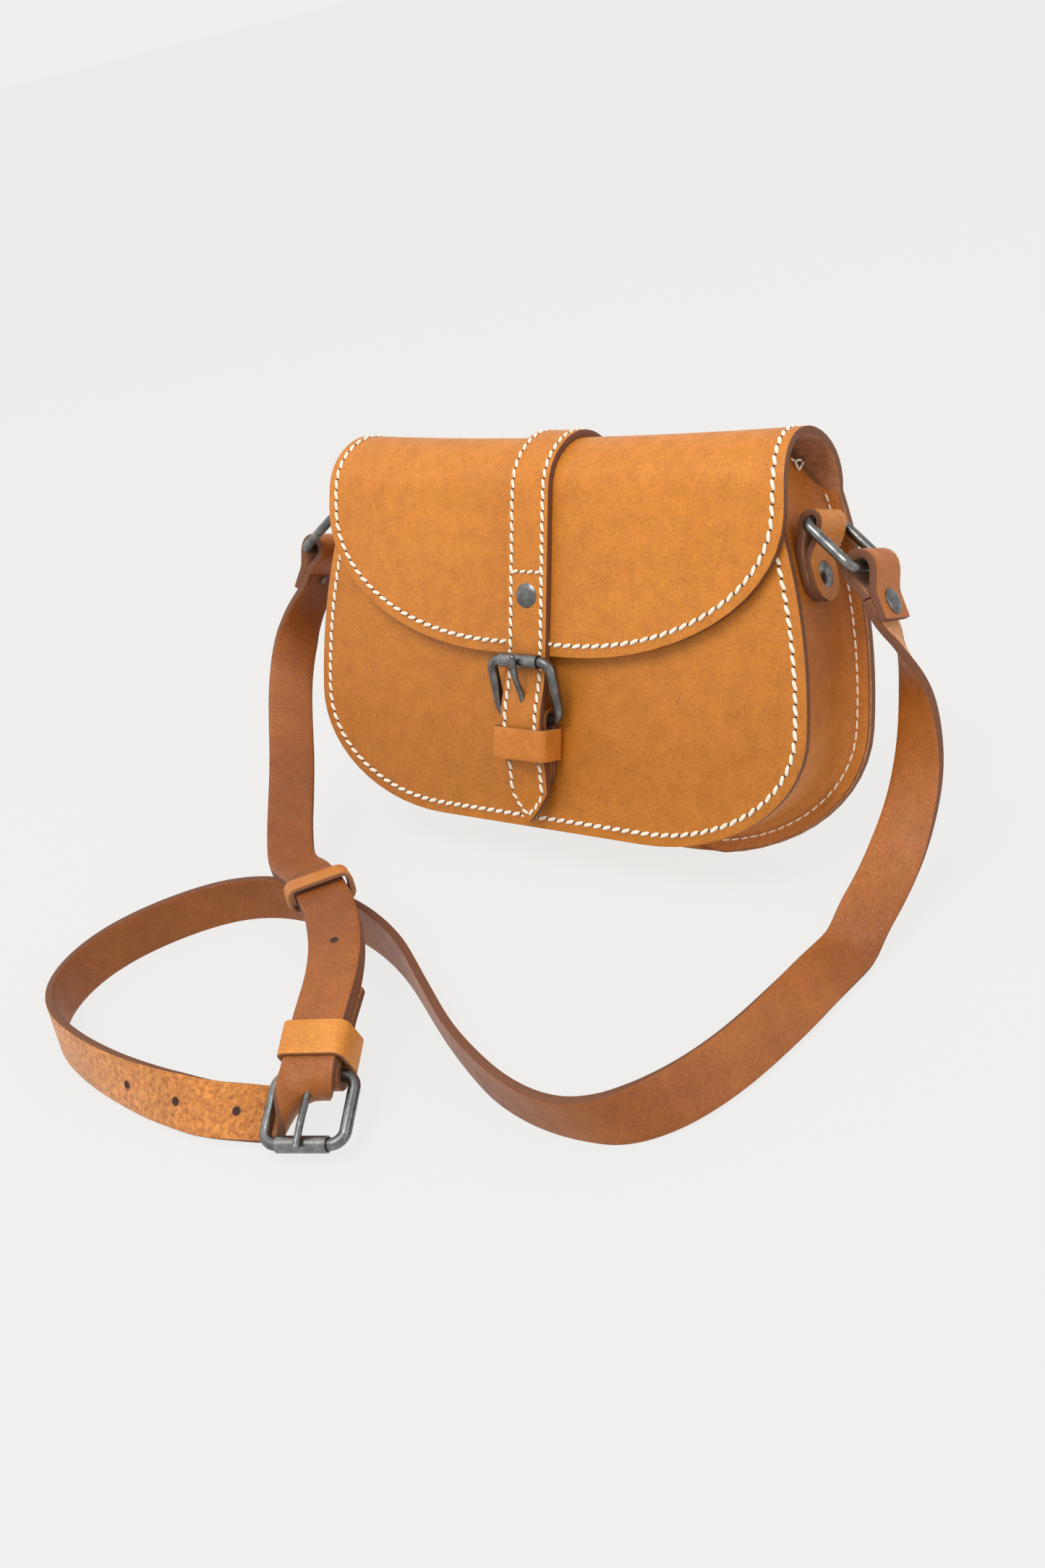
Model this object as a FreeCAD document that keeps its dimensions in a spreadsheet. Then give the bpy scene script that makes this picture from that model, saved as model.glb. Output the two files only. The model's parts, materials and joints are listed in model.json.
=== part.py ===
import FreeCAD, Part
import math
import os

V = FreeCAD.Vector
doc = FreeCAD.newDocument("SlingBag")

# ---------------------------------------------------------------- sizes (mm, degrees)
SIZES = [
    ("lean", 22.0, "how far the bag leans back from upright"),
    ("leather", 3.0, "thickness of the panels, flap and closure strap"),
    ("wall_skin", 1.6, "thickness of the gusset"),
    ("depth", 36.0, "front face to back panel"),
    ("rim", 8.0, "how far the back panel stands proud of the front outline"),
    ("foot_cut", 2.0, "depth of the worn flat on the back panel's lower edge"),
    ("front_pitch", 1.5, "forward pitch of the front panel"),
    ("shoulder", 140.0, "height where the panels end and the flap arches over"),
    ("arch_in", 20.0, "inner radius of the flap's arch"),
    ("arch_mid", 16.0, "middle of the arch, front to back"),
    ("strap_width", 20.0, "width of every strap"),
    ("strap_skin", 3.2, "thickness of the shoulder strap"),
    ("strap_gap", 0.35, "air between two strap layers"),
    ("wire", 2.2, "radius of the buckle wire"),
    ("buckle_half", 15.0, "half the width between the buckle's legs"),
    ("buckle_reach", 25.3, "heel bar to roller bar"),
    ("roller_out", 3.0, "outer radius of the roller"),
    ("roller_in", 2.5, "bore radius of the roller"),
    ("roller_long", 19.0, "length of the roller"),
    ("prong_wire", 1.3, "radius of the prong"),
    ("prong_eye", 0.9, "half thickness of the prong where it turns round the heel bar"),
    ("ring_wire", 2.0, "radius of the ring wire"),
    ("ring_reach", 25.6, "upper to lower bar of a ring"),
    ("cap_radius", 5.0, "radius of a rivet cap"),
    ("cap_high", 1.4, "height of a rivet cap"),
    ("shank_radius", 1.8, "radius of a rivet shank"),
    ("keeper_skin", 1.8, "thickness of a keeper loop"),
    ("chape_skin", 1.8, "thickness of the front buckle's chape"),
    ("tab_skin", 2.5, "thickness of the folded side tabs"),
]
sheet = doc.addObject("Spreadsheet::Sheet", "Sizes")
for row, (alias, value, note) in enumerate(SIZES, start=1):
    sheet.set("A%d" % row, alias)
    sheet.set("B%d" % row, "%g" % value)
    sheet.setAlias("B%d" % row, alias)
    sheet.set("C%d" % row, note)
doc.recompute()


def size(alias):
    return float(getattr(sheet, alias))


LEAN = math.radians(size("lean"))
BACK = size("depth")
SKIN = size("leather")
CUT = size("foot_cut")
RIM = size("rim")
SHOULDER = size("shoulder")
HALF = size("strap_width") / 2
STRAP = size("strap_skin")
STEP = STRAP + size("strap_gap")
PITCH = math.radians(size("front_pitch"))
MID = size("arch_mid")

# The bag stands on the flat worn on its back panel's lower edge: the frame's origin is there.
LEVEL_Y = -((BACK + SKIN - CUT / 2) * math.cos(LEAN)
            + (-RIM + CUT / 2 * math.tan(LEAN)) * math.sin(LEAN))
LEVEL_Z = (BACK + SKIN - CUT) * math.sin(LEAN) + RIM * math.cos(LEAN)
BAG = FreeCAD.Placement(V(0, LEVEL_Y, LEVEL_Z), FreeCAD.Rotation(V(1, 0, 0), -size("lean")))

# Corner and side curve of the front panel's outline; other outlines are offsets of it.
FLAT_X = 52.0
CORNER_Z = 50.0
CORNER_A = 71.0
CORNER_B = 50.0
SIDE_R = 229.3
SIDE_X = FLAT_X + CORNER_A - SIDE_R


def side_x(z, out=0.0):
    return SIDE_X + math.sqrt((SIDE_R + out) ** 2 - (z - CORNER_Z) ** 2)


def ellipse_quarter(sign, out):
    """Quarter ellipse from the straight bottom edge to the side, bulged by out."""
    a = CORNER_A + out
    b = CORNER_B + out
    centre = V(sign * FLAT_X, CORNER_Z, 0)
    if a >= b:
        curve = Part.Ellipse(centre, a, b)
        start, stop = (1.5 * math.pi, 2 * math.pi) if sign > 0 else (math.pi, 1.5 * math.pi)
        return Part.ArcOfEllipse(curve, start, stop)
    raise ValueError("corner is taller than wide")


def side_arc(sign, out, top):
    z_mid = (top + CORNER_Z) / 2
    return Part.Arc(V(sign * side_x(CORNER_Z, out), CORNER_Z, 0),
                    V(sign * side_x(z_mid, out), z_mid, 0),
                    V(sign * side_x(top, out), top, 0))


def line(x0, z0, x1, z1):
    return Part.LineSegment(V(x0, z0, 0), V(x1, z1, 0))


def panel_outline(out, top):
    """Closed outline of a panel: flat foot, elliptical corners, bowed sides, straight top."""
    low = CORNER_Z - CORNER_B - out
    return [line(-FLAT_X, low, FLAT_X, low),
            ellipse_quarter(1, out), side_arc(1, out, top),
            line(side_x(top, out), top, -side_x(top, out), top),
            side_arc(-1, out, top), ellipse_quarter(-1, out)]


def box_outline(x0, z0, x1, z1):
    return [line(x0, z0, x1, z0), line(x1, z0, x1, z1), line(x1, z1, x0, z1), line(x0, z1, x0, z0)]


def rounded_box(x0, z0, x1, z1, r):
    k = r * (1 - math.cos(math.radians(45)))
    return [line(x0 + r, z0, x1 - r, z0),
            Part.Arc(V(x1 - r, z0, 0), V(x1 - k, z0 + k, 0), V(x1, z0 + r, 0)),
            line(x1, z0 + r, x1, z1 - r),
            Part.Arc(V(x1, z1 - r, 0), V(x1 - k, z1 - k, 0), V(x1 - r, z1, 0)),
            line(x1 - r, z1, x0 + r, z1),
            Part.Arc(V(x0 + r, z1, 0), V(x0 + k, z1 - k, 0), V(x0, z1 - r, 0)),
            line(x0, z1 - r, x0, z0 + r),
            Part.Arc(V(x0, z0 + r, 0), V(x0 + k, z0 + k, 0), V(x0 + r, z0, 0))]


def circle_outline(x, z, radius):
    return [Part.Circle(V(x, z, 0), V(0, 0, 1), radius)]


# ---------------------------------------------------------------- PartDesign helpers
def new_body(name, placement):
    body = doc.addObject("PartDesign::Body", name)
    body.Label = name
    body.Placement = placement
    return body


def plane_of(body, role):
    return [f for f in body.Origin.OriginFeatures if f.Role == role][0]


def sketch_on(body, name, role, curves, offset=0.0):
    sketch = body.newObject("Sketcher::SketchObject", name)
    sketch.AttachmentSupport = [(plane_of(body, role), "")]
    sketch.MapMode = "FlatFace"
    sketch.AttachmentOffset = FreeCAD.Placement(V(0, 0, offset), FreeCAD.Rotation())
    for curve in curves:
        sketch.addGeometry(curve, False)
    return sketch


def pad(body, sketch, length, both=False, reverse=False):
    feature = body.newObject("PartDesign::Pad", sketch.Name + "_pad")
    feature.Profile = sketch
    feature.setExpression("Length", length)
    feature.Midplane = both
    feature.Reversed = reverse
    body.Tip = feature
    return feature


def cut_through(body, sketch):
    feature = body.newObject("PartDesign::Pocket", sketch.Name + "_cut")
    feature.Profile = sketch
    feature.Type = 1
    feature.Midplane = True
    body.Tip = feature
    return feature


def revolve(body, name, curves, placement_axis="V_Axis"):
    sketch = sketch_on(body, name, "XZ_Plane", curves)
    feature = body.newObject("PartDesign::Revolution", name + "_turn")
    feature.Profile = sketch
    feature.ReferenceAxis = (sketch, [placement_axis])
    feature.Angle = 360
    body.Tip = feature
    return feature


def rivet(name, placement, cap_high, shank):
    """Domed cap with a straight shank; the cap's underside is at height 0, shank points down."""
    body = new_body(name, placement)
    r_cap = size("cap_radius")
    r_pin = size("shank_radius")
    crown = 0.2 * r_cap
    dome = Part.Arc(V(r_cap, 0.35 * cap_high, 0), V(r_cap * 0.72, 0.82 * cap_high, 0),
                    V(crown, cap_high, 0))
    revolve(body, name + "_half", [
        line(0, cap_high, 0, -shank), line(0, -shank, r_pin, -shank), line(r_pin, -shank, r_pin, 0),
        line(r_pin, 0, r_cap, 0), line(r_cap, 0, r_cap, 0.35 * cap_high), dome,
        line(crown, cap_high, 0, cap_high)])
    return body


def rounded_loop(half, reach, corner):
    """Centreline of a rectangular wire loop, heel bar at height 0, first point on a leg."""
    k = corner * (1 - math.cos(math.radians(45)))
    return [
        line(half, reach / 2, half, reach - corner),
        Part.Arc(V(half, reach - corner, 0), V(half - k, reach - k, 0), V(half - corner, reach, 0)),
        line(half - corner, reach, corner - half, reach),
        Part.Arc(V(corner - half, reach, 0), V(k - half, reach - k, 0), V(-half, reach - corner, 0)),
        line(-half, reach - corner, -half, corner),
        Part.Arc(V(-half, corner, 0), V(k - half, k, 0), V(corner - half, 0, 0)),
        line(corner - half, 0, half - corner, 0),
        Part.Arc(V(half - corner, 0, 0), V(half - k, k, 0), V(half, corner, 0)),
        line(half, corner, half, reach / 2)]


def wire_loop(name, placement, half, reach, corner, radius):
    body = new_body(name, placement)
    spine = sketch_on(body, name + "_route", "XZ_Plane", rounded_loop(half, reach, corner))
    ring = sketch_on(body, name + "_wire", "XY_Plane", circle_outline(half, 0, radius), reach / 2)
    doc.recompute()
    pipe = body.newObject("PartDesign::AdditivePipe", name + "_pipe")
    pipe.Profile = ring
    pipe.Spine = (spine, [])
    body.Tip = pipe
    return body


# ---------------------------------------------------------------- code-shape helpers
def feature(name, shape, placement=None):
    obj = doc.addObject("Part::Feature", name)
    obj.Label = name
    obj.Shape = shape
    if placement:
        obj.Placement = placement
    return obj


def edges(curves):
    return [c.toShape() for c in curves]


def prism(curves, y0, y1):
    """Closed outline in x and z, made solid from y0 to y1."""
    wire = Part.Wire(Part.__sortEdges__(edges(curves)))
    turn = FreeCAD.Placement(V(0, y0, 0), FreeCAD.Rotation(V(1, 0, 0), 90))
    face = Part.Face(wire)
    face.Placement = turn
    return face.extrude(V(0, y1 - y0, 0))


def smooth(points):
    curve = Part.BSplineCurve()
    curve.interpolate(points)
    return curve


def ribbon_face(points, skin):
    """Face of a bent strip seen edge-on: a smooth line through points, half a skin each side."""
    left = []
    right = []
    for i, p in enumerate(points):
        a = points[max(i - 1, 0)]
        b = points[min(i + 1, len(points) - 1)]
        run = b.sub(a).normalize()
        out = V(-run.y, run.x, 0).multiply(skin / 2)
        left.append(p.add(out))
        right.append(p.sub(out))
    one = smooth(left).toShape()
    two = smooth(right).toShape()
    wire = Part.Wire(Part.__sortEdges__([
        one, Part.LineSegment(left[-1], right[-1]).toShape(), two,
        Part.LineSegment(right[0], left[0]).toShape()]))
    return Part.Face(wire)


def bent_strip_x(points_yz, skin, half):
    """Strip whose edge-on line lies in y and z, made solid from -half to half in x."""
    face = ribbon_face([V(y, z, 0) for y, z in points_yz], skin)
    return place_yz(face, -half).extrude(V(2 * half, 0, 0))


def place_yz(face, x):
    out = face.copy()
    out.Placement = FreeCAD.Placement(V(x, 0, 0), FreeCAD.Rotation(V(1, 1, 1), 120))
    return out


def bent_strip_y(points_xz, skin, y0, y1):
    """Strip whose edge-on line lies in x and z, made solid from y0 to y1."""
    face = ribbon_face([V(x, z, 0) for x, z in points_xz], skin)
    out = face.copy()
    out.Placement = FreeCAD.Placement(V(0, y0, 0), FreeCAD.Rotation(V(1, 0, 0), 90))
    return out.extrude(V(0, y1 - y0, 0))


LAYER_AIR = 0.25


def hairpin(bar, drop, skin, bore, leg_a, leg_b, join, steps=9):
    """Strip round a bar: down one side, round the top, down the other side.

    bar and drop are points in x and z; drop is the unit direction of the legs.  The two legs
    close up to touch at the distance join below the bar.
    """
    side = (-drop[1], drop[0])
    rad = bore + skin / 2
    close = skin / 2 + LAYER_AIR

    def at(along, across):
        return (bar[0] + drop[0] * along + side[0] * across,
                bar[1] + drop[1] * along + side[1] * across)

    def leg(sign, length):
        pts = []
        for part in (0.3, 0.6, 0.85):
            ease = (1 + math.cos(math.pi * part)) / 2
            pts.append(at(join * part, sign * (close + (rad - close) * ease)))
        gap = (length - join) / 2
        return pts + [at(join + gap, sign * close), at(length, sign * close)]

    arc = [at(-rad * math.sin(math.radians(t)), rad * math.cos(math.radians(t)))
           for t in [180.0 * k / steps for k in range(steps + 1)]]
    return list(reversed(leg(1, leg_a))) + arc + leg(-1, leg_b)


# ---------------------------------------------------------------- bag panels
def make_front_panel():
    pitch = FreeCAD.Placement(V(0, 0, 0), FreeCAD.Rotation(V(1, 0, 0), size("front_pitch")))
    body = new_body("front_panel", BAG.multiply(pitch))
    sketch = sketch_on(body, "front_outline", "XZ_Plane", panel_outline(0.0, SHOULDER))
    pad(body, sketch, "Sizes.leather", reverse=True)
    return body


def make_back_panel():
    body = new_body("back_panel", BAG)
    sketch = sketch_on(body, "back_outline", "XZ_Plane", panel_outline(RIM, SHOULDER), -BACK)
    pad(body, sketch, "Sizes.leather", reverse=True)
    fall = CUT * math.tan(LEAN)
    foot = sketch_on(body, "foot_flat", "YZ_Plane", [
        line(BACK + SKIN - CUT, -RIM, BACK + SKIN + 1, -RIM - 1),
        line(BACK + SKIN + 1, -RIM - 1, BACK + SKIN + 1, -RIM + fall * 1.5),
        line(BACK + SKIN + 1, -RIM + fall * 1.5, BACK + SKIN - CUT, -RIM)])
    cut_through(body, foot)
    return body


def u_ring(outer, inner, top, y0, y1):
    ring = prism(panel_outline(outer, top), y0, y1)
    return ring.cut(prism(panel_outline(inner, top + 20), y0 - 1, y1 + 1))


def make_gusset():
    skin = size("wall_skin")
    top = SHOULDER + 7
    wall = u_ring(-1.5, -1.5 - skin, top, -8, BACK)
    pitch = FreeCAD.Placement(V(0, 0, 0), FreeCAD.Rotation(V(1, 0, 0), size("front_pitch")))
    before = Part.makeBox(400, 40, 400, V(-200, SKIN - 40, -100))
    before.Placement = pitch
    in_wall = -1.5 - 0.5 * skin
    lip = u_ring(in_wall, -10.0, SHOULDER, SKIN, SKIN + skin)
    lip.Placement = pitch
    rear = u_ring(RIM - 1, in_wall, SHOULDER, BACK - skin, BACK)
    low = Part.makeBox(400, 100, 200 + SHOULDER, V(-200, -30, -200))
    dome = Part.makeCylinder(size("arch_in") - 0.4, 400, V(-200, MID, SHOULDER), V(1, 0, 0))
    keep = low.fuse(dome)
    wall = wall.common(keep).cut(before)
    shape = wall.fuse([lip, rear]).removeSplitter()
    return feature("gusset", shape, BAG)


FLAP_TOP_HALF = 109.0
FLAP_BEND_Z = 130.0
FLAP_HALF = 113.0
FLAP_LOW = 73.0
FLAP_FLAT = 18.0


def flap_outline():
    a = FLAP_HALF - FLAP_FLAT
    b = FLAP_BEND_Z - FLAP_LOW
    lower_right = Part.ArcOfEllipse(Part.Ellipse(V(FLAP_FLAT, FLAP_BEND_Z, 0), a, b),
                                    1.5 * math.pi, 2 * math.pi)
    lower_left = Part.ArcOfEllipse(Part.Ellipse(V(-FLAP_FLAT, FLAP_BEND_Z, 0), a, b),
                                   math.pi, 1.5 * math.pi)
    radius = ((163.0 - FLAP_BEND_Z) ** 2 + 4.0 ** 2) / (2 * 4.0)
    top = FLAP_BEND_Z + 45
    drop = radius - math.sqrt(radius ** 2 - 45.0 ** 2)
    mid_drop = radius - math.sqrt(radius ** 2 - 22.5 ** 2)
    right = Part.Arc(V(FLAP_HALF, FLAP_BEND_Z, 0), V(FLAP_HALF - mid_drop, FLAP_BEND_Z + 22.5, 0),
                     V(FLAP_HALF - drop, top, 0))
    left = Part.Arc(V(-FLAP_HALF, FLAP_BEND_Z, 0),
                    V(mid_drop - FLAP_HALF, FLAP_BEND_Z + 22.5, 0), V(drop - FLAP_HALF, top, 0))
    return [line(-FLAP_FLAT, FLAP_LOW, FLAP_FLAT, FLAP_LOW), lower_right, right,
            line(FLAP_HALF - drop, top, drop - FLAP_HALF, top), left, lower_left]


def half_arch_profile(inner, outer, low_front):
    """Edge-on outline of leather over the arch, from the front leaf to the shoulder at the back."""
    lift = 0.3
    return [
        line(MID - outer, low_front, MID - inner, low_front),
        line(MID - inner, low_front, MID - inner, SHOULDER),
        Part.Arc(V(MID - inner, SHOULDER, 0), V(MID, SHOULDER + inner, 0),
                 V(MID + math.sqrt(inner ** 2 - lift ** 2), SHOULDER + lift, 0)),
        line(MID + math.sqrt(inner ** 2 - lift ** 2), SHOULDER + lift,
             MID + math.sqrt(outer ** 2 - lift ** 2), SHOULDER + lift),
        Part.Arc(V(MID + math.sqrt(outer ** 2 - lift ** 2), SHOULDER + lift, 0),
                 V(MID, SHOULDER + outer, 0), V(MID - outer, SHOULDER, 0)),
        line(MID - outer, SHOULDER, MID - outer, low_front)]


def make_flap():
    inner = size("arch_in")
    body = new_body("flap", BAG)
    sketch = sketch_on(body, "flap_bend", "YZ_Plane",
                       half_arch_profile(inner, inner + SKIN, FLAP_LOW))
    sheet.set("B%d" % (len(SIZES) + 1), "260")
    sheet.setAlias("B%d" % (len(SIZES) + 1), "flap_blank")
    pad(body, sketch, "Sizes.flap_blank", both=True)
    trim = sketch_on(body, "flap_trim", "XZ_Plane",
                     box_outline(-200, 40, 200, 220) + flap_outline())
    cut_through(body, trim)
    return body


def make_centre_strap():
    inner = size("arch_in") + SKIN
    body = new_body("centre_strap", BAG)
    sketch = sketch_on(body, "centre_bend", "YZ_Plane",
                       half_arch_profile(inner, inner + SKIN, FLAP_LOW + 0.2))
    pad(body, sketch, "Sizes.strap_width", both=True)
    return body


def make_centre_strap_back():
    body = new_body("centre_strap_back", BAG)
    y = BACK + SKIN
    sketch = sketch_on(body, "tail_side", "YZ_Plane",
                       box_outline(y, SHOULDER - 32, y + SKIN, SHOULDER))
    pad(body, sketch, "Sizes.strap_width", both=True)
    return body


# ---------------------------------------------------------------- front closure
HEEL = (-5.8, 47.0)
ROLL_Y = -14.0
FRONT_TILT = math.degrees(math.asin((HEEL[0] - ROLL_Y) / size("buckle_reach")))
FRONT_BUCKLE = BAG.multiply(FreeCAD.Placement(V(0, HEEL[0], HEEL[1]),
                                              FreeCAD.Rotation(V(1, 0, 0), FRONT_TILT)))


def make_tongue():
    """Pointed end of the closure strap, through the buckle and the keeper."""
    line_yz = [(-8.8, 72.9), (-9.0, 67), (-9.7, 60), (-11.3, 53.5), (-12.1, 47), (-11.7, 42.5),
               (-10.5, 37.5), (-8.6, 30), (-6.8, 20), (-5.9, 12), (-5.2, 3.6)]
    body = bent_strip_x(line_yz, SKIN, HALF)
    shape_in = prism([line(-HALF, 80, -HALF, 17), line(-HALF, 17, 0, 3.6), line(0, 3.6, HALF, 17),
                      line(HALF, 17, HALF, 80), line(HALF, 80, -HALF, 80)], -40, 20)
    slot = Part.makeBox(4.4, 30, 15.8, V(-2.2, -25, 46.6))
    return feature("closure_tongue", body.common(shape_in).cut(slot), BAG)


def make_chape():
    """Leather folded round the heel bar, both layers sewn to the front panel below it."""
    skin = size("chape_skin")
    rad = size("wire") + 0.3 + skin / 2
    arc = [(HEEL[0] + rad * math.cos(math.radians(t)), HEEL[1] + rad * math.sin(math.radians(t)))
           for t in range(0, 181, 20)]
    line_yz = ([(-1.55, 10), (-1.8, 20), (-2.1, 30), (-2.4, 40)] + arc
               + [(-8.6, 42.5), (-6.4, 37), (-4.8, 32.5), (-4.0, 27), (-3.7, 20), (-3.42, 10)])
    body = bent_strip_x(line_yz, skin, HALF)
    point = prism([line(-HALF, 60, -HALF, 26), line(-HALF, 26, -7, 18),
                   Part.Arc(V(-7, 18, 0), V(0, 14.5, 0), V(7, 18, 0)), line(7, 18, HALF, 26),
                   line(HALF, 26, HALF, 60), line(HALF, 60, -HALF, 60)], -40, 20)
    slot = Part.makeBox(5.2, 30, 14, V(-2.6, -20, 41))
    return feature("chape", body.common(point).cut(slot), BAG)


def make_keeper_front():
    skin = size("keeper_skin")
    half = 13.5
    front = -15.8
    back = -1.35
    body = new_body("keeper_front", BAG)
    corner = 2.2
    k = corner * (1 - math.cos(math.radians(45)))
    ring = [line(-half, back, -half, front + corner),
            Part.Arc(V(-half, front + corner, 0), V(k - half, front + k, 0),
                     V(corner - half, front, 0)),
            line(corner - half, front, half - corner, front),
            Part.Arc(V(half - corner, front, 0), V(half - k, front + k, 0),
                     V(half, front + corner, 0)),
            line(half, front + corner, half, back), line(half, back, half - skin, back),
            line(half - skin, back, half - skin, front + skin),
            line(half - skin, front + skin, skin - half, front + skin),
            line(skin - half, front + skin, skin - half, back), line(skin - half, back, -half, back)]
    sketch = sketch_on(body, "keeper_section", "XY_Plane", ring, 30.5)
    sheet.set("B%d" % (len(SIZES) + 2), "13")
    sheet.setAlias("B%d" % (len(SIZES) + 2), "keeper_wide")
    pad(body, sketch, "Sizes.keeper_wide")
    return body


def make_buckle(prefix, placement, prong_yz):
    """Wire frame, roller on the far bar and prong on the heel bar; Z runs heel to roller."""
    wire = size("wire")
    reach = size("buckle_reach")
    frame = wire_loop(prefix + "_frame", placement, size("buckle_half"), reach, 5.0, wire)
    roller = new_body(prefix + "_roller", placement)
    sketch = sketch_on(roller, prefix + "_roller_rings", "YZ_Plane",
                       circle_outline(0, reach, size("roller_out"))
                       + circle_outline(0, reach, size("roller_in")))
    pad(roller, sketch, "Sizes.roller_long", both=True)
    prong = feature(prefix + "_prong", prong_shape(prong_yz, size("prong_wire")), placement)
    return frame, roller, prong


def prong_shape(points_yz, radius):
    """Wire bent round the heel bar and running out over the roller, with a rounded tip."""
    flat = size("prong_eye")
    eye = size("wire") + 0.25 + flat
    loop = Part.makeTorus(eye, flat, V(0, 0, 0), V(1, 0, 0))
    pts = [V(0, y, z) for y, z in points_yz]
    shapes = [loop]
    for a, b in zip(pts, pts[1:]):
        run = b.sub(a)
        shapes.append(Part.makeCylinder(radius, run.Length, a, run))
        shapes.append(Part.makeSphere(radius, b))
    return shapes[0].fuse(shapes[1:]).removeSplitter()


# ---------------------------------------------------------------- tabs, rings, strap ends
TAB_BAR = (117.0, 128.0)
RING_DROP = (0.781, -0.6247)
END_BAR = (TAB_BAR[0] + RING_DROP[0] * size("ring_reach"),
           TAB_BAR[1] + RING_DROP[1] * size("ring_reach"))
END_DROP = (0.42, -0.9075)
END_LONG = 18.0
TAIL_LONG = 21.0
Y_NEAR = MID - HALF
Y_FAR = MID + HALF


def mirrored(points, sign):
    return [(sign * x, z) for x, z in points]


def make_tab(name, sign):
    skin = size("tab_skin")
    rad = size("ring_wire") + 0.4 + skin / 2
    arc = [(TAB_BAR[0] - rad * math.cos(math.radians(t)), TAB_BAR[1] + rad * math.sin(math.radians(t)))
           for t in range(0, 181, 20)]

    def wall(z, lift):
        return (side_x(z, -1.5) + lift, z)

    inner = [wall(z, 0.25 + skin * 0.52) for z in (99, 105, 111, 117)]
    outer = [wall(z, 0.65 + skin * 1.56) for z in (114.5, 109, 104, 99)]
    pts = (inner + [(TAB_BAR[0] - rad - 0.1, 123.0)] + arc
           + [(TAB_BAR[0] + rad - 0.7, 123.4), (TAB_BAR[0] + rad - 2.6, 119.0)] + outer)
    shape = bent_strip_y(mirrored(pts, sign), skin, Y_NEAR, Y_FAR)
    rounding = Part.makeCylinder(HALF, 40, V(sign * 120 - 20, MID, 99 + HALF), V(1, 0, 0))
    upper = Part.makeBox(40, 40, 60, V(sign * 120 - 20, MID - 20, 99 + HALF))
    return feature(name, shape.common(rounding.fuse(upper)), BAG)


def make_strap_end(name, sign):
    """Strap turned round the ring's lower bar; the outer layer is the short riveted tail."""
    pts = hairpin(END_BAR, END_DROP, STRAP, size("ring_wire") + 1.8, TAIL_LONG, END_LONG, 11.5)
    shape = bent_strip_y(mirrored(pts, sign), STRAP, Y_NEAR, Y_FAR)
    return feature(name, shape, BAG)


def end_point(along, across, sign):
    """Point on a strap end, measured down from the ring bar and out from its middle plane."""
    side = (-END_DROP[1], END_DROP[0])
    return V(sign * (END_BAR[0] + END_DROP[0] * along + side[0] * across), MID,
             END_BAR[1] + END_DROP[1] * along + side[1] * across)


def ring_placement(sign):
    """Ring frame: X along the bag's depth, Z from the upper bar to the lower bar."""
    z_axis = V(sign * RING_DROP[0], 0, RING_DROP[1])
    x_axis = V(0, 1, 0)
    turn = FreeCAD.Rotation(x_axis, z_axis.cross(x_axis), z_axis, "ZXY")
    return BAG.multiply(FreeCAD.Placement(V(sign * TAB_BAR[0], MID, TAB_BAR[1]), turn))


# ---------------------------------------------------------------- shoulder strap
def bag_point(p):
    return BAG.multVec(p)


def bag_dir(d):
    return BAG.Rotation.multVec(d)


def unit(v):
    return V(v).normalize()


def corner_arc(a, p, b, radius):
    """Tangent arc at p between the runs a-p and p-b; gives (start, centre, radius, turn, axis)."""
    into = unit(p.sub(a))
    away = unit(b.sub(p))
    turn = into.getAngle(away)
    short = min(p.sub(a).Length, b.sub(p).Length)
    if radius is None:
        radius = 0.45 * short / math.tan(turn / 2)
    cut = radius * math.tan(turn / 2)
    axis = unit(into.cross(away))
    start = p.sub(V(into).multiply(cut))
    centre = start.add(axis.cross(into).multiply(radius))
    return start, centre, radius, turn, axis


def sample_route(stations, radii, fine):
    """Points along straight runs joined by tangent arcs, with width directions interpolated."""
    pts = [V(*s[0]) for s in stations]
    wide = [unit(V(*s[1])) for s in stations]
    lying = [s[2] for s in stations]
    out = [(pts[0], wide[0], lying[0])]
    report = []
    length = 0.0
    cursor = pts[0]
    for i in range(1, len(pts) - 1):
        start, centre, radius, turn, axis = corner_arc(pts[i - 1], pts[i], pts[i + 1], radii.get(i))
        report.append(radius)
        length += start.sub(cursor).Length + radius * turn
        count = max(2, int(math.ceil(math.degrees(turn) / fine)) + 1)
        for k in range(count + 1):
            spin = FreeCAD.Rotation(axis, math.degrees(turn) * k / count)
            p = centre.add(spin.multVec(start.sub(centre)))
            part = 0.45 * (k / count - 0.5)
            near = i + (1 if part > 0 else -1)
            w = V(wide[i]).multiply(1 - abs(part)).add(V(wide[near]).multiply(abs(part)))
            out.append((p, w, lying[i]))
            cursor = p
    length += pts[-1].sub(cursor).Length
    out.append((pts[-1], wide[-1], lying[-1]))
    return out, report, length


def drop_close(samples, least=1.2):
    kept = [samples[0]]
    for s in samples[1:-1]:
        if s[0].sub(kept[-1][0]).Length > least:
            kept.append(s)
    if samples[-1][0].sub(kept[-1][0]).Length < least:
        kept.pop()
    return kept + [samples[-1]]


def strap_frames(samples, first=None, last=None):
    """Centre, run, width and face direction of each cross-section of the strap."""
    pts = [s[0] for s in samples]
    frames = []
    for i, (p, w, lying) in enumerate(samples):
        a = pts[max(i - 1, 0)]
        b = pts[min(i + 1, len(pts) - 1)]
        run = unit(b.sub(a))
        if i == 0 and first:
            run = unit(first)
        if i == len(samples) - 1 and last:
            run = unit(last)
        w = unit(w.sub(V(run).multiply(w.dot(run))))
        face = w.cross(run)
        if lying:
            p = V(p.x, p.y, HALF * abs(w.z) + STRAP / 2 * abs(face.z) + 0.02)
        frames.append((p, run, w, face))
    return frames


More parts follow.
